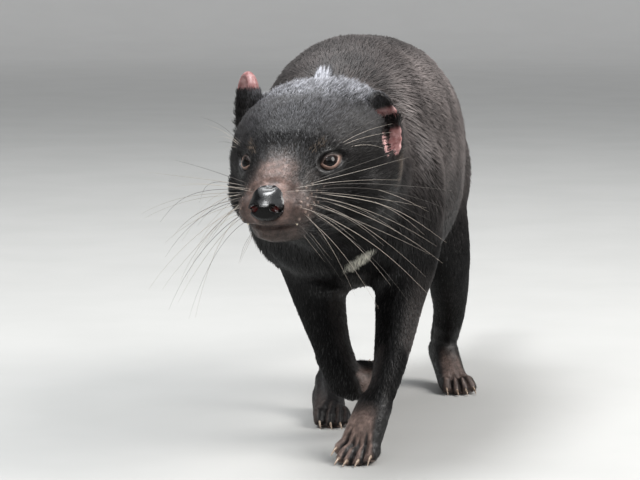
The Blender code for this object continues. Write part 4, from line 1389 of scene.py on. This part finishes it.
class Tufts:
    """Rows of tuft roots with what each tuft needs: place, normal, lie, length, width, rise and tint."""

    FIELDS = ("place", "normal", "lie", "length", "width", "rise", "tint", "foot", "thin")

    def __init__(self, **values):
        for name in self.FIELDS:
            setattr(self, name, values[name])

    def __len__(self):
        return len(self.place)

    def only(self, chosen):
        return Tufts(**{name: getattr(self, name)[chosen] for name in self.FIELDS})

    def tips(self):
        """Where each tuft's tip would be on its own."""
        return self.place + scaled(self.lie, self.length) + scaled(self.normal, self.length * self.rise)


def turned(lie, normal, angle):
    """The lie turned about the normal."""
    return scaled(lie, np.cos(angle)) + scaled(np.cross(normal, lie), np.sin(angle))


def wave(points, scale, phase):
    """A slow, smooth swing over space between -1 and 1."""
    p = points / scale
    total = np.sin(p[:, 0] * 1.3 + p[:, 1] * 0.9 + phase)
    total += np.sin(p[:, 1] * 1.1 - p[:, 2] * 1.7 + 1.7 * phase)
    total += np.sin(p[:, 2] * 1.2 + p[:, 0] * 0.7 + 2.3 * phase)
    return total / 3


def gathered(tufts, rng, spacing):
    """Tips drawn together into locks: one lock for every few tufts, each with its own pull."""
    tips = tufts.tips()
    leaders = rng.choice(len(tufts), max(1, len(tufts) // spacing), replace=False)
    mine = nearest(tufts.place, tufts.place[leaders])
    pull = rng.uniform(0.08, 0.42, len(leaders))[mine]
    target = tips[leaders[mine]]
    apart = np.linalg.norm(target - tips, axis=1)
    pull *= smooth(1.1, 0.5, apart / tufts.length)
    return tips + scaled(target - tips, pull)


def tuft_mesh(name, tufts, tips, roots_uv):
    """Bent, tapered tufts with a ridge along their back, as one mesh: 7 points and 4 faces each."""
    count = len(tufts)
    across = np.cross(tufts.lie, tufts.normal)
    half = scaled(across, tufts.width / 2)
    ridge = scaled(tufts.normal, tufts.width * 0.30)
    sunk = tufts.place - tufts.normal * TUFT_ROOT
    bend = scaled(tufts.normal, tufts.length * tufts.rise * 0.16)
    middle = tufts.place + (tips - tufts.place) * 0.52 + bend
    root = [sunk - half * 0.8, sunk + ridge * 0.6, sunk + half * 0.8]
    rows = np.stack([*root, middle - half, middle + ridge, middle + half, tips], axis=1)
    rows[:, :, 2] = np.maximum(rows[:, :, 2], TUFTS_OFF_FLOOR)
    up = tufts.normal - scaled(tufts.lie, 0.5 * tufts.rise)
    left, right = unit(up - across * 0.45), unit(up + across * 0.45)
    up = unit(up)
    normals = np.stack([left, up, right, left, up, right, up], axis=1)
    faces = np.array([0, 1, 4, 3, 1, 2, 5, 4, 3, 4, 6, 4, 5, 6])
    corners = (np.arange(count)[:, None] * 7 + faces).ravel()
    starts = (np.arange(count)[:, None] * len(faces) + np.array([0, 4, 8, 11])).ravel()

    mesh = bpy.data.meshes.new(name)
    mesh.vertices.add(count * 7)
    mesh.vertices.foreach_set("co", rows.astype(np.float32).ravel())
    mesh.loops.add(len(corners))
    mesh.loops.foreach_set("vertex_index", corners.astype(np.int32))
    mesh.polygons.add(len(starts))
    mesh.polygons.foreach_set("loop_start", starts.astype(np.int32))
    mesh.update(calc_edges=True)
    mesh.shade_smooth()
    write(mesh, "along", np.tile([0, 0, 0, 0.5, 0.5, 0.5, 1.0], count))
    for field in ("tint", "foot", "thin"):
        write(mesh, field, np.repeat(getattr(tufts, field), 7))
    patch = PATCH * np.array([[-1, -1], [0, -1], [1, -1], [-1, 0], [0, 0], [1, 0], [0, 1]])
    points_uv = (roots_uv[:, None] + patch[None]).reshape(-1, 2)
    layer = mesh.uv_layers.new(name="OFBake")
    layer.data.foreach_set("uv", points_uv[corners].astype(np.float32).ravel())
    mesh.normals_split_custom_set_from_vertices(normals.reshape(-1, 3))
    return linked(name, mesh)


class Unwrap:
    """A flat map of a piece's own shape, made on a thinned copy of it."""

    def __init__(self, piece, faces):
        copy = linked("unwrap", piece.data.copy())
        reduce = copy.modifiers.new("reduce", "DECIMATE")
        reduce.ratio = min(1.0, faces / len(piece.data.polygons))
        apply_modifiers(copy)
        for layer in list(copy.data.uv_layers):
            copy.data.uv_layers.remove(layer)
        bpy.context.view_layer.objects.active = copy
        for other in bpy.context.selected_objects:
            other.select_set(False)
        copy.select_set(True)
        bpy.ops.object.mode_set(mode="EDIT")
        bpy.ops.mesh.select_all(action="SELECT")
        bpy.ops.mesh.quads_convert_to_tris()
        bpy.ops.uv.smart_project(angle_limit=math.radians(66), island_margin=0.004)
        bpy.ops.object.mode_set(mode="OBJECT")
        mesh = copy.data
        self.points = numbers(mesh.vertices, "co")
        self.corners = indices(mesh.loops, "vertex_index", 1).reshape(-1, 3)
        self.uv = numbers(mesh.uv_layers.active.data, "uv", 2).reshape(-1, 3, 2)
        self.tree = tree_of(mesh)
        bpy.data.objects.remove(copy)

    def at(self, places):
        """Each place's point on the map."""
        found = [self.tree.find_nearest(place) for place in places]
        faces = np.array([hit[2] for hit in found])
        near = np.array([hit[0] for hit in found])
        a, b, c = (self.points[self.corners[faces, i]] for i in range(3))
        whole = np.cross(b - a, c - a)
        size = np.maximum(np.sum(whole * whole, axis=1), 1e-18)
        two = np.sum(np.cross(near - a, c - a) * whole, axis=1) / size
        three = np.sum(np.cross(b - a, near - a) * whole, axis=1) / size
        shares = np.stack([1 - two - three, two, three], axis=1)
        return np.sum(self.uv[faces] * shares[:, :, None], axis=1)


def skin_tufts(mesh, count, scale, rng):
    """Tufts for the whole of a mesh that carries the guides."""
    corners, shares = sampled(mesh, count, rng)

    def value(name, width=1):
        return at(read(mesh, name, width), corners, shares)

    place = at(numbers(mesh.vertices, "co"), corners, shares)
    normal = unit(at(numbers(mesh.vertices, "normal"), corners, shares))
    lie = value("lie", 3)
    lie = unit(lie - scaled(normal, np.sum(lie * normal, axis=1)))
    swing = 0.22 * wave(place, 0.016, 0.4) + 0.14 * wave(place, 0.006, 2.1) + rng.normal(0, 0.13, count)
    return Tufts(
        place=place,
        normal=normal,
        lie=turned(lie, normal, swing),
        length=value("length") * rng.uniform(0.72, 1.18, count) * scale,
        width=value("width") * rng.uniform(0.75, 1.2, count),
        rise=value("rise") * rng.uniform(0.45, 1.35, count) * (1 + 0.25 * wave(place, 0.011, 5.0)),
        tint=np.clip(0.5 + 0.22 * wave(place, 0.009, 3.3) + rng.normal(0, 0.22, count), 0, 1),
        foot=value("foot"),
        thin=value("thin"),
    )


def clear_of_features(tufts):
    """Which tufts keep clear of the eyeballs and the nose with its top."""
    keep = np.ones(len(tufts), bool)
    for node in EYE_LOOK:
        local, share = eye_places(tufts.place, node)
        keep &= ~((share < 1.42) & (local[:, 1] < 0.003))
    for place in NOSE_CLEAR:
        keep &= ball(to_head(tufts.place), *place) < 0.5
    return keep


class DEVIL_OT_coat(bpy.types.Operator):
    """Cover the skin with tufts that follow the lie of the coat"""

    bl_idname = "devil.coat"
    bl_label = "Coat"

    def execute(self, context):
        settings = context.scene.devil_coat
        skin = bpy.data.objects["skin"]
        rng = np.random.default_rng(SEEDS["coat"])
        tufts = skin_tufts(skin.data, settings.tufts, settings.length, rng)
        tufts = tufts.only(clear_of_features(tufts))
        tips = gathered(tufts, rng, TUFTS_IN_LOCK["body"])
        roots_uv = Unwrap(skin, MAP_FACES["body"]).at(tufts.place)
        order = np.argsort(tufts.place[:, 1], kind="stable")
        pieces = math.ceil(len(order) / TUFTS_IN_PIECE)
        for number, rows in enumerate(np.array_split(order, pieces), 1):
            piece = tuft_mesh(f"coat_{number}", tufts.only(rows), tips[rows], roots_uv[rows])
            finish_piece(piece, "coat", material("fur", fur_material))
        return {"FINISHED"}


# Eyes, lids, nose, teeth, claws, ears and whiskers


def add_lids(node, tree):
    """The lids of one eye: a ring that rises off the eyeball and sinks into the skin round it."""
    look = EYE_LOOK[node]
    axes = TURN @ facing(look, EYE_UP)
    centre = middle_of(node)
    side = math.copysign(1, look.x)
    slant = Matrix.Rotation(side * LID_SLANT, 2)
    turns = np.arange(LID_POINTS) * math.tau / LID_POINTS
    rings = []
    for share, over, to_skin, sunk, _, _ in LID_ROWS:
        ring = []
        for turn in turns:
            c, s = side * math.cos(turn), math.sin(turn)
            u = LID_HALF[0] * c * share
            v = LID_HALF[1] * math.copysign(abs(s) ** (1.65 if c * side < 0 else 1.35), s) * share
            flat = slant @ Vector((u, v)) + Vector((side * LID_SHIFT[0], LID_SHIFT[1]))
            reach = min(flat.length, 0.8 * EYE_RADIUS)
            out = math.sqrt(EYE_RADIUS**2 - reach**2) - (flat.length - reach) * 0.9
            place = centre + axes @ Vector((flat.x, -(out + over * MM), flat.y))
            if to_skin:
                found, normal, *_ = tree.find_nearest(place)
                place = place.lerp(found - normal * sunk * MM, to_skin)
            ring.append(place)
        rings.append(ring)
    # Painted shade: the rim is darker over the upper half of the opening, the outer rows most
    dim = np.where(np.arange(len(LID_ROWS)) > 2, 0.92, 0.45)
    shade = 1 - np.outer(dim, smooth(-0.1, 0.7, np.sin(turns)))
    *_, bare, edge = np.array(LID_ROWS).T
    shape = bmesh.new()
    add_rings(shape, rings, rim=scaled(shade, bare), lip=np.tile(edge[:, None], LID_POINTS))
    shape.normal_update()
    outwards = sum((face.normal for face in shape.faces), Vector()).dot(axes @ Vector((0, -1, 0)))
    if outwards < 0:
        bmesh.ops.reverse_faces(shape, faces=shape.faces)
    piece = rounded(object_of(node.replace("eye", "lids"), shape), 1)
    finish_piece(piece, "bare_skin", material("skin", skin_material))


class DEVIL_OT_eyes(bpy.types.Operator):
    """The eyeballs with their clear fronts, and the lids round them"""

    bl_idname = "devil.eyes"
    bl_label = "Eyes"

    def execute(self, context):
        tree = tree_of(bpy.data.objects["skin"].data)
        for node, look in EYE_LOOK.items():
            shape = bmesh.new()
            bmesh.ops.create_uvsphere(shape, u_segments=48, v_segments=32, radius=EYE_RADIUS)
            for vert in shape.verts:
                bulge = max(0.0, vert.co.z / EYE_RADIUS - CORNEA_START)
                vert.co.z += CORNEA_BULGE * bulge * bulge / (1 - CORNEA_START)
            turn = TURN @ facing(look, EYE_UP) @ Matrix(((1, 0, 0), (0, 0, -1), (0, 1, 0)))
            bmesh.ops.transform(shape, matrix=turn.to_4x4(), verts=shape.verts)
            bmesh.ops.translate(shape, vec=middle_of(node), verts=shape.verts)
            piece = object_of(node + "_ball", shape)
            piece.data.shade_smooth()
            finish_piece(piece, "eye", eye_material(node + "_ball", node), replaces=(node,))
            add_lids(node, tree)
        return {"FINISHED"}


class DEVIL_OT_nose(bpy.types.Operator):
    """The nose pad with its nostrils"""

    bl_idname = "devil.nose"
    bl_label = "Nose"

    def execute(self, context):
        piece = fused("nose_pad", solids(("nose",)), CELLS["nose"], 5)
        surface = Surface(piece.data)
        across, back = np.array(TURN.col[0]), np.array(TURN.col[1])

        # Flatten the front of its upper half, then draw its top back and up
        local = (to_head(surface.points) - np.array(NOSE_PLACE)) / MM
        plane = -7.4 + np.maximum(local[:, 2] - 0.5, 0) * 0.95 + 0.035 * local[:, 0] ** 2
        push = smooth(-0.5, 1.5, local[:, 2]) * np.maximum(plane - local[:, 1], 0) * 0.85
        surface.points += back * (push * MM)[:, None]
        top = (smooth(4.5, 9.5, local[:, 2]) * (1 - 0.55 * smooth(1.5, 8.0, np.abs(local[:, 0]))))[:, None]
        surface.points += top * np.array(TURN @ Vector((0, 7.2 * MM, 3.6 * MM)))
        surface.points += 4 * top * (1 - top) * np.array(TURN @ Vector((0, -0.6 * MM, 1.7 * MM)))
        surface.points += across * (0.16 * top * local[:, :1] * MM)
        surface.store()
        surface.soften(3)

        local = (to_head(surface.points) - np.array(NOSE_PLACE)) / MM
        hollow = np.zeros(len(local))
        for side in (-1, 1):
            away = (local - np.array((side * 8.6, -5.0, -1.6))) / np.array((5.0, 6.0, 3.2))
            hollow = np.maximum(hollow, smooth(0.80, 0.25, np.linalg.norm(away, axis=1)))
        write(piece.data, "hollow", hollow)
        wet = np.maximum(smooth(0.5, 2.5, local[:, 2]), 0.3 * (hollow > 0))
        write(piece.data, "gloss", 0.06 + 0.60 * wet)
        piece.data.shade_smooth()
        finish_piece(piece, "nose", material("nose", nose_material), replaces=("nose",))
        return {"FINISHED"}


def softened(name, nodes):
    """Copies of the nodes as one rounded piece."""
    return rounded(object_of(name, solids(nodes)), 2)


class DEVIL_OT_claws(bpy.types.Operator):
    """The claws of each foot and the tips of the canines"""

    bl_idname = "devil.claws"
    bl_label = "Claws and teeth"

    def execute(self, context):
        horn = material("claw", horn_material, "claw", CLAW_HORN, CLAW_STREAK, 0.30)
        for foot in PARTS["foot"]:
            piece = softened(foot.replace("foot", "claws"), claws_of(foot))
            finish_piece(piece, "claw", horn, replaces=claws_of(foot))
        ivory = material("tooth", horn_material, "tooth", TOOTH_IVORY, TOOTH_STREAK, 0.20)
        nodes = ("canine_left", "canine_right")
        canines = softened("canines", nodes)
        surface = Surface(canines.data)
        high = to_head(surface.points)[:, 2]
        surface.points += np.array(TURN.col[2]) * ((high.max() - high) * 0.42)[:, None]
        surface.store()
        finish_piece(canines, "tooth", ivory, replaces=nodes)
        return {"FINISHED"}


def window(low, high, value, edge=2.0):
    """1 between low and high and 0 outside, with soft edges."""
    return smooth(low - edge, low + edge, value) * smooth(high + edge, high - edge, value)


def ear_piece(node):
    """One ear: a thin cup with folds inside it; gives the piece, and where it is bare and how high."""
    piece = fused(node + "_cup", solids((node,)), CELLS["ear"], 5)
    surface = Surface(piece.data)
    axes = np.array(facing(EAR_OPENS[node], EAR_UP[node]))
    across, back, high = ((surface.points - np.array(middle_of(node))) @ axes / MM).T
    inner = smooth(0.30, -0.20, (surface.normals @ axes)[:, 1])
    inner *= smooth(0.97, 0.86, np.hypot(across / 16.5, high / 28.5))
    if node == "ear_left":
        pink = inner * np.maximum(window(6, 14, high) * 0.8, window(-24, -3, high))
        fold = inner * np.maximum(window(12, 30, high), window(-4, 5, high))
        lift = 2.2 * hill(high - 0.5 - 0.25 * across, 3.0) + 1.2 * hill(high - 14 + 0.3 * across, 2.2)
    else:
        pink = window(14.0, 60, high, 3.0)
        half_width = np.sqrt(np.maximum(1, 272 * (1 - (high / 28.6) ** 2)))
        fold = 0.35 + 0.65 * pink * smooth(0.4, 0.9, np.abs(across) / half_width)
        lift = 1.6 * hill(across - 2, 2.5) * smooth(12, 0, high)
    lift += 0.5 * np.sin(high * 0.9 + 0.9 * np.sin(across * 0.5)) * smooth(8, -8, high)
    surface.lift(lift * inner * MM)
    if node == "ear_right":
        surface.points += axes[:, 0] * (across * 0.12 * smooth(10, 24, high) * MM)[:, None]
    surface.store()
    surface.soften(2)
    # Painted shade: the skin is darker deep in the lower part of the cup; the fold value carries it with
    # the folds
    deep = smooth(-1, 6, back) * inner
    write(piece.data, "pink", pink)
    write(piece.data, "fold", np.clip(0.5 * fold + 0.8 * deep * smooth(8, -4, high), 0, 1))
    piece.data.shade_smooth()
    return piece, pink, high


class DEVIL_OT_ears(bpy.types.Operator):
    """The ears with their folds, and the fur on their backs and rims"""

    bl_idname = "devil.ears"
    bl_label = "Ears"

    def execute(self, context):
        rng = np.random.default_rng(SEEDS["ears"])
        for node in EAR_UP:
            piece, pink, high = ear_piece(node)
            mesh = piece.data
            lie = np.array(EAR_UP[node].normalized()) - np.array(EAR_OPENS[node].normalized()) * 0.25
            write(mesh, "density", np.maximum(1 - 1.15 * pink, 0) ** 2 + 1e-4)
            write(mesh, "lie", np.tile(lie, (len(high), 1)), "FLOAT_VECTOR")
            write(mesh, "length", mix(6.5, 3.0, smooth(-10, 20, high)) * (1 - 0.4 * pink) * MM)
            for name, value in {"width": 0.42 * MM, "rise": 0.30, "foot": 0, "thin": 0}.items():
                write(mesh, name, np.full(len(high), value))
            tufts = skin_tufts(mesh, EAR_TUFTS, 1.0, rng)
            roots_uv = Unwrap(piece, MAP_FACES["ear"]).at(tufts.place)
            tips = gathered(tufts, rng, TUFTS_IN_LOCK["ear"])
            coat = tuft_mesh(node + "_coat", tufts, tips, roots_uv)
            finish_piece(coat, "coat", material("fur", fur_material))
            for name in (*GUIDES, "foot", "thin"):
                mesh.attributes.remove(mesh.attributes[name])
            finish_piece(piece, "ear_skin", material("ear_skin", ear_material), replaces=(node,))
        return {"FINISHED"}


def whisker_tints(count):
    """Mostly pale whiskers with some dark ones among them."""
    draws = np.random.default_rng(SEEDS["tints"]).random(count)
    return np.where(draws < 0.30, 0.10, 0.45 + 0.55 * draws)


def whisker_piece(name, paths, thick):
    """Tapered round hairs along paths, as one piece; each path is rows of points."""
    shape = bmesh.new()
    turns = np.arange(WHISKER_SIDES) * math.tau / WHISKER_SIDES
    for path, size, tint in zip(paths, thick, whisker_tints(len(paths))):
        ahead = unit(np.gradient(path, axis=0))
        across = unit(np.cross(ahead, (0.2, 0.1, 1.0)))
        other = np.cross(ahead, across)
        part = np.linspace(0, 1, len(path))
        circles = np.cos(turns)[:, None] * across[:, None] + np.sin(turns)[:, None] * other[:, None]
        radius = size * (1 - 0.78 * part**1.3)
        along = np.tile(part[:, None], WHISKER_SIDES)
        rows = path[:, None] + radius[:, None, None] * circles
        rings = add_rings(shape, rows, along=along, tint=np.full_like(along, tint))
        shape.faces.new(rings[0])
        shape.faces.new(rings[-1])
    bmesh.ops.recalc_face_normals(shape, faces=shape.faces)
    piece = object_of(name, shape)
    piece.data.shade_smooth()
    return piece


def whisker_path(root, heading, length, droop, sway):
    """A hair that leaves its root along its heading and bends down and back, and a little back again."""
    part = np.linspace(0, 1, WHISKER_POINTS)[:, None]
    root, heading = np.array(root), heading / np.linalg.norm(heading)
    bend = droop * part**2 + sway * np.sin(part * 4.2) * part
    return root + heading * length * part + bend - heading * 0.0008 * (part == 0)


def whisker_plan(rng):
    """Each whisker of one side: its place back and up on the head, heading, length, droop and thickness."""
    for row, number, y, z in whisker_spots():
        length = (0.050 + 0.0155 * number + 0.003 * (4 - row)) * rng.uniform(0.82, 1.12)
        back = 0.32 * number - 0.45 + rng.normal(0, 0.08)
        rise = 0.20 - 0.21 * row + rng.normal(0, 0.09)
        droop = (-0.004, 0.008 + 0.014 * rng.random(), -0.006 - 0.020 * rng.random() - 0.004 * row)
        yield y, z, (1.0, back, rise), min(length, WHISKER_LONGEST), droop, (0.15 + 0.02 * number) * MM
    for number in range(5):  # over the eye
        heading = (0.75, 0.25 + 0.12 * number, 0.55 - 0.10 * number)
        length = (0.046 - 0.004 * number) * rng.uniform(0.9, 1.1)
        y, z = 0.004 + 0.0020 * number, 0.0125 - 0.0010 * number
        yield y, z, heading, length, (0.0, 0.006, -0.008), 0.17 * MM
    for number in range(4):  # on the cheek
        y, z = 0.026 + 0.0035 * (number % 2), -0.024 - 0.0045 * number
        yield y, z, (0.85, 0.35, -0.25 - 0.1 * number), 0.042, (0.0, 0.006, -0.010), 0.16 * MM
    for number in range(3):  # under the chin
        yield -0.030 + 0.007 * number, -0.0500, (0.55, 0.10, -0.75), 0.024, (0.0, 0.004, -0.003), 0.13 * MM


def grown_whiskers(side, tree, rng):
    """The paths and thicknesses of one side's whiskers, from where their roots meet the skin."""
    paths, thick = [], []
    axes = np.array(TURN)
    mirror = np.array((side, 1, 1))
    inward = TURN @ Vector((-side, 0, 0))
    for y, z, heading, length, droop, size in whisker_plan(rng):
        hit = tree.ray_cast(from_head((side * 0.075, y, z)), inward, 0.075)[0]
        if hit is not None:
            way = axes @ (np.array(heading) * mirror)
            sag = axes @ (np.array(droop) * mirror)
            sway = axes @ rng.normal(0, 0.020 * length, 3)
            paths.append(whisker_path(hit, way, length, sag, sway))
            thick.append(size)
    return paths, thick


class DEVIL_OT_whiskers(bpy.types.Operator):
    """The whiskers of the muzzle, brows, cheeks and chin, as wide as their nodes"""

    bl_idname = "devil.whiskers"
    bl_label = "Whiskers"

    def execute(self, context):
        tree = tree_of(bpy.data.objects["skin"].data)
        rng = np.random.default_rng(SEEDS["whiskers"])
        for side, node in ((1, "whiskers_left"), (-1, "whiskers_right")):
            paths, thick = grown_whiskers(side, tree, rng)
            low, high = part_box(node)
            limit = high.x if side > 0 else low.x
            longest = max(paths, key=lambda path: side * path[-1][0])
            grow = (limit - longest[0][0]) / (longest[-1][0] - longest[0][0])
            paths = [path[0] + (path - path[0]) * grow for path in paths]
            piece = whisker_piece(node + "_hairs", paths, thick)
            finish_piece(piece, "whisker", material("whisker", whisker_material), replaces=(node,))
        return {"FINISHED"}


# The stage


def add_light(name, place, target, size, power, colour):
    """A round studio light that looks at its target."""
    lamp = bpy.data.lights.new(name, "AREA")
    lamp.shape = "DISK"
    lamp.size = size
    lamp.energy = power
    lamp.color = colour
    made = linked(name, lamp)
    made.location = place
    made.rotation_euler = (Vector(target) - Vector(place)).to_track_quat("-Z", "Y").to_euler()


def add_floor():
    """A pale round floor that sweeps up into a low wall on every side, and glows more the farther out it
    is.
    """
    shape = bmesh.new()
    profile = [(0.02, 0), (6, 0)]
    profile += [(6 + 2 * math.sin(a), 2 - 2 * math.cos(a)) for a in np.radians((15, 30, 45, 60, 75, 90))]
    profile.append((8, 4.5))
    verts = [shape.verts.new((x, 0, z)) for x, z in profile]
    edges = [shape.edges.new(pair) for pair in zip(verts, verts[1:])]
    bmesh.ops.spin(
        shape, geom=verts + edges, cent=(0, 0, 0), axis=(0, 0, 1), angle=math.tau, steps=72, use_merge=True
    )
    bmesh.ops.remove_doubles(shape, verts=shape.verts, dist=1e-4)
    hole = [edge for edge in shape.edges if edge.is_boundary and edge.verts[0].co.length < 0.1]
    bmesh.ops.holes_fill(shape, edges=hole)
    bmesh.ops.recalc_face_normals(shape, faces=shape.faces)
    floor = object_of("floor", shape)
    if min(floor.data.polygons, key=lambda face: face.center.length).normal.z < 0:
        floor.data.flip_normals()
    floor.data.shade_smooth()
    made, graph, place = new_material("floor")
    speckle = graph.ramp(graph.noise(place, 6.0), 0.3, 0.7)
    # Painted light: the floor glows more the farther it reaches from the middle, so the far floor and wall
    # stay pale and light the animal softly
    reach = graph.ramp(graph.vector("LENGTH", place), 2.5, 8.5)
    graph.shade({
        "Base Color": graph.mix(speckle, *FLOOR_GREYS),
        "Roughness": 0.9,
        "Emission Color": graph.mix(reach, (0, 0, 0), (1, 1, 1)),
        "Emission Strength": 0.28,
    })
    floor.data.materials.append(made)


def add_camera(settings):
    """The camera at the photograph's angle, with the photograph's lens."""
    lens = bpy.data.cameras.new("camera")
    lens.sensor_width = 36
    lens.lens = FOCAL / PHOTO_WIDTH * lens.sensor_width
    lens.shift_x, lens.shift_y = (shift / PHOTO_WIDTH for shift in SHIFT)
    lens.clip_end = 50
    camera = linked("camera", lens)
    a, e = settings.azimuth, settings.elevation
    out = Vector((math.sin(a) * math.cos(e), -math.cos(a) * math.cos(e), math.sin(e)))
    camera.location = HEAD + AIM_FROM_HEAD + out * settings.distance
    camera.rotation_euler = (-out).to_track_quat("-Z", "Y").to_euler()
    return camera


class DEVIL_OT_stage(bpy.types.Operator):
    """The floor, the studio lights and the camera at the photograph's angle"""

    bl_idname = "devil.stage"
    bl_label = "Stage"

    def execute(self, context):
        scene = context.scene
        add_floor()
        scene.world = bpy.data.worlds.new("studio")
        scene.world.use_nodes = True
        sky = scene.world.node_tree.nodes["Background"]
        sky.inputs["Color"].default_value = (0.80, 0.87, 1.0, 1)
        sky.inputs["Strength"].default_value = 0.08
        for name, values in LIGHTS.items():
            add_light(name, *values)
        scene.view_settings.view_transform = "Standard"
        scene.camera = add_camera(scene.devil_stage)
        return {"FINISHED"}


class DEVIL_PT_panel(bpy.types.Panel):
    """Lists the steps that build the animal"""

    bl_idname = "DEVIL_PT_panel"
    bl_label = "Tasmanian devil"
    bl_space_type = "VIEW_3D"
    bl_region_type = "UI"
    bl_category = "Devil"

    def draw(self, context):
        for step in STEPS:
            self.layout.operator(step.bl_idname)
        for group in (context.scene.devil_coat, context.scene.devil_skin, context.scene.devil_stage):
            for name in group.__annotations__:
                self.layout.prop(group, name)


STEPS = (
    DEVIL_OT_stage,
    DEVIL_OT_skin,
    DEVIL_OT_eyes,
    DEVIL_OT_nose,
    DEVIL_OT_claws,
    DEVIL_OT_ears,
    DEVIL_OT_whiskers,
    DEVIL_OT_coat,
)
CLASSES = (DevilCoat, DevilSkin, DevilStage, *STEPS, DEVIL_PT_panel)


def register():
    """Add the settings, operators and panel to Blender."""
    for made in CLASSES:
        bpy.utils.register_class(made)
    bpy.types.Scene.devil_coat = PointerProperty(type=DevilCoat)
    bpy.types.Scene.devil_skin = PointerProperty(type=DevilSkin)
    bpy.types.Scene.devil_stage = PointerProperty(type=DevilStage)


def unregister():
    """Take them out again."""
    del bpy.types.Scene.devil_stage
    del bpy.types.Scene.devil_skin
    del bpy.types.Scene.devil_coat
    for made in reversed(CLASSES):
        bpy.utils.unregister_class(made)


def drop_guides():
    """Remove from the skin the values that only the coat needed."""
    mesh = bpy.data.objects["skin"].data
    for name in GUIDES:
        mesh.attributes.remove(mesh.attributes[name])


def main():
    """Build the animal and its stage step by step."""
    register()
    for step in STEPS:
        group, name = step.bl_idname.split(".")
        getattr(getattr(bpy.ops, group), name)()
    drop_guides()


if __name__ == "__main__":
    main()
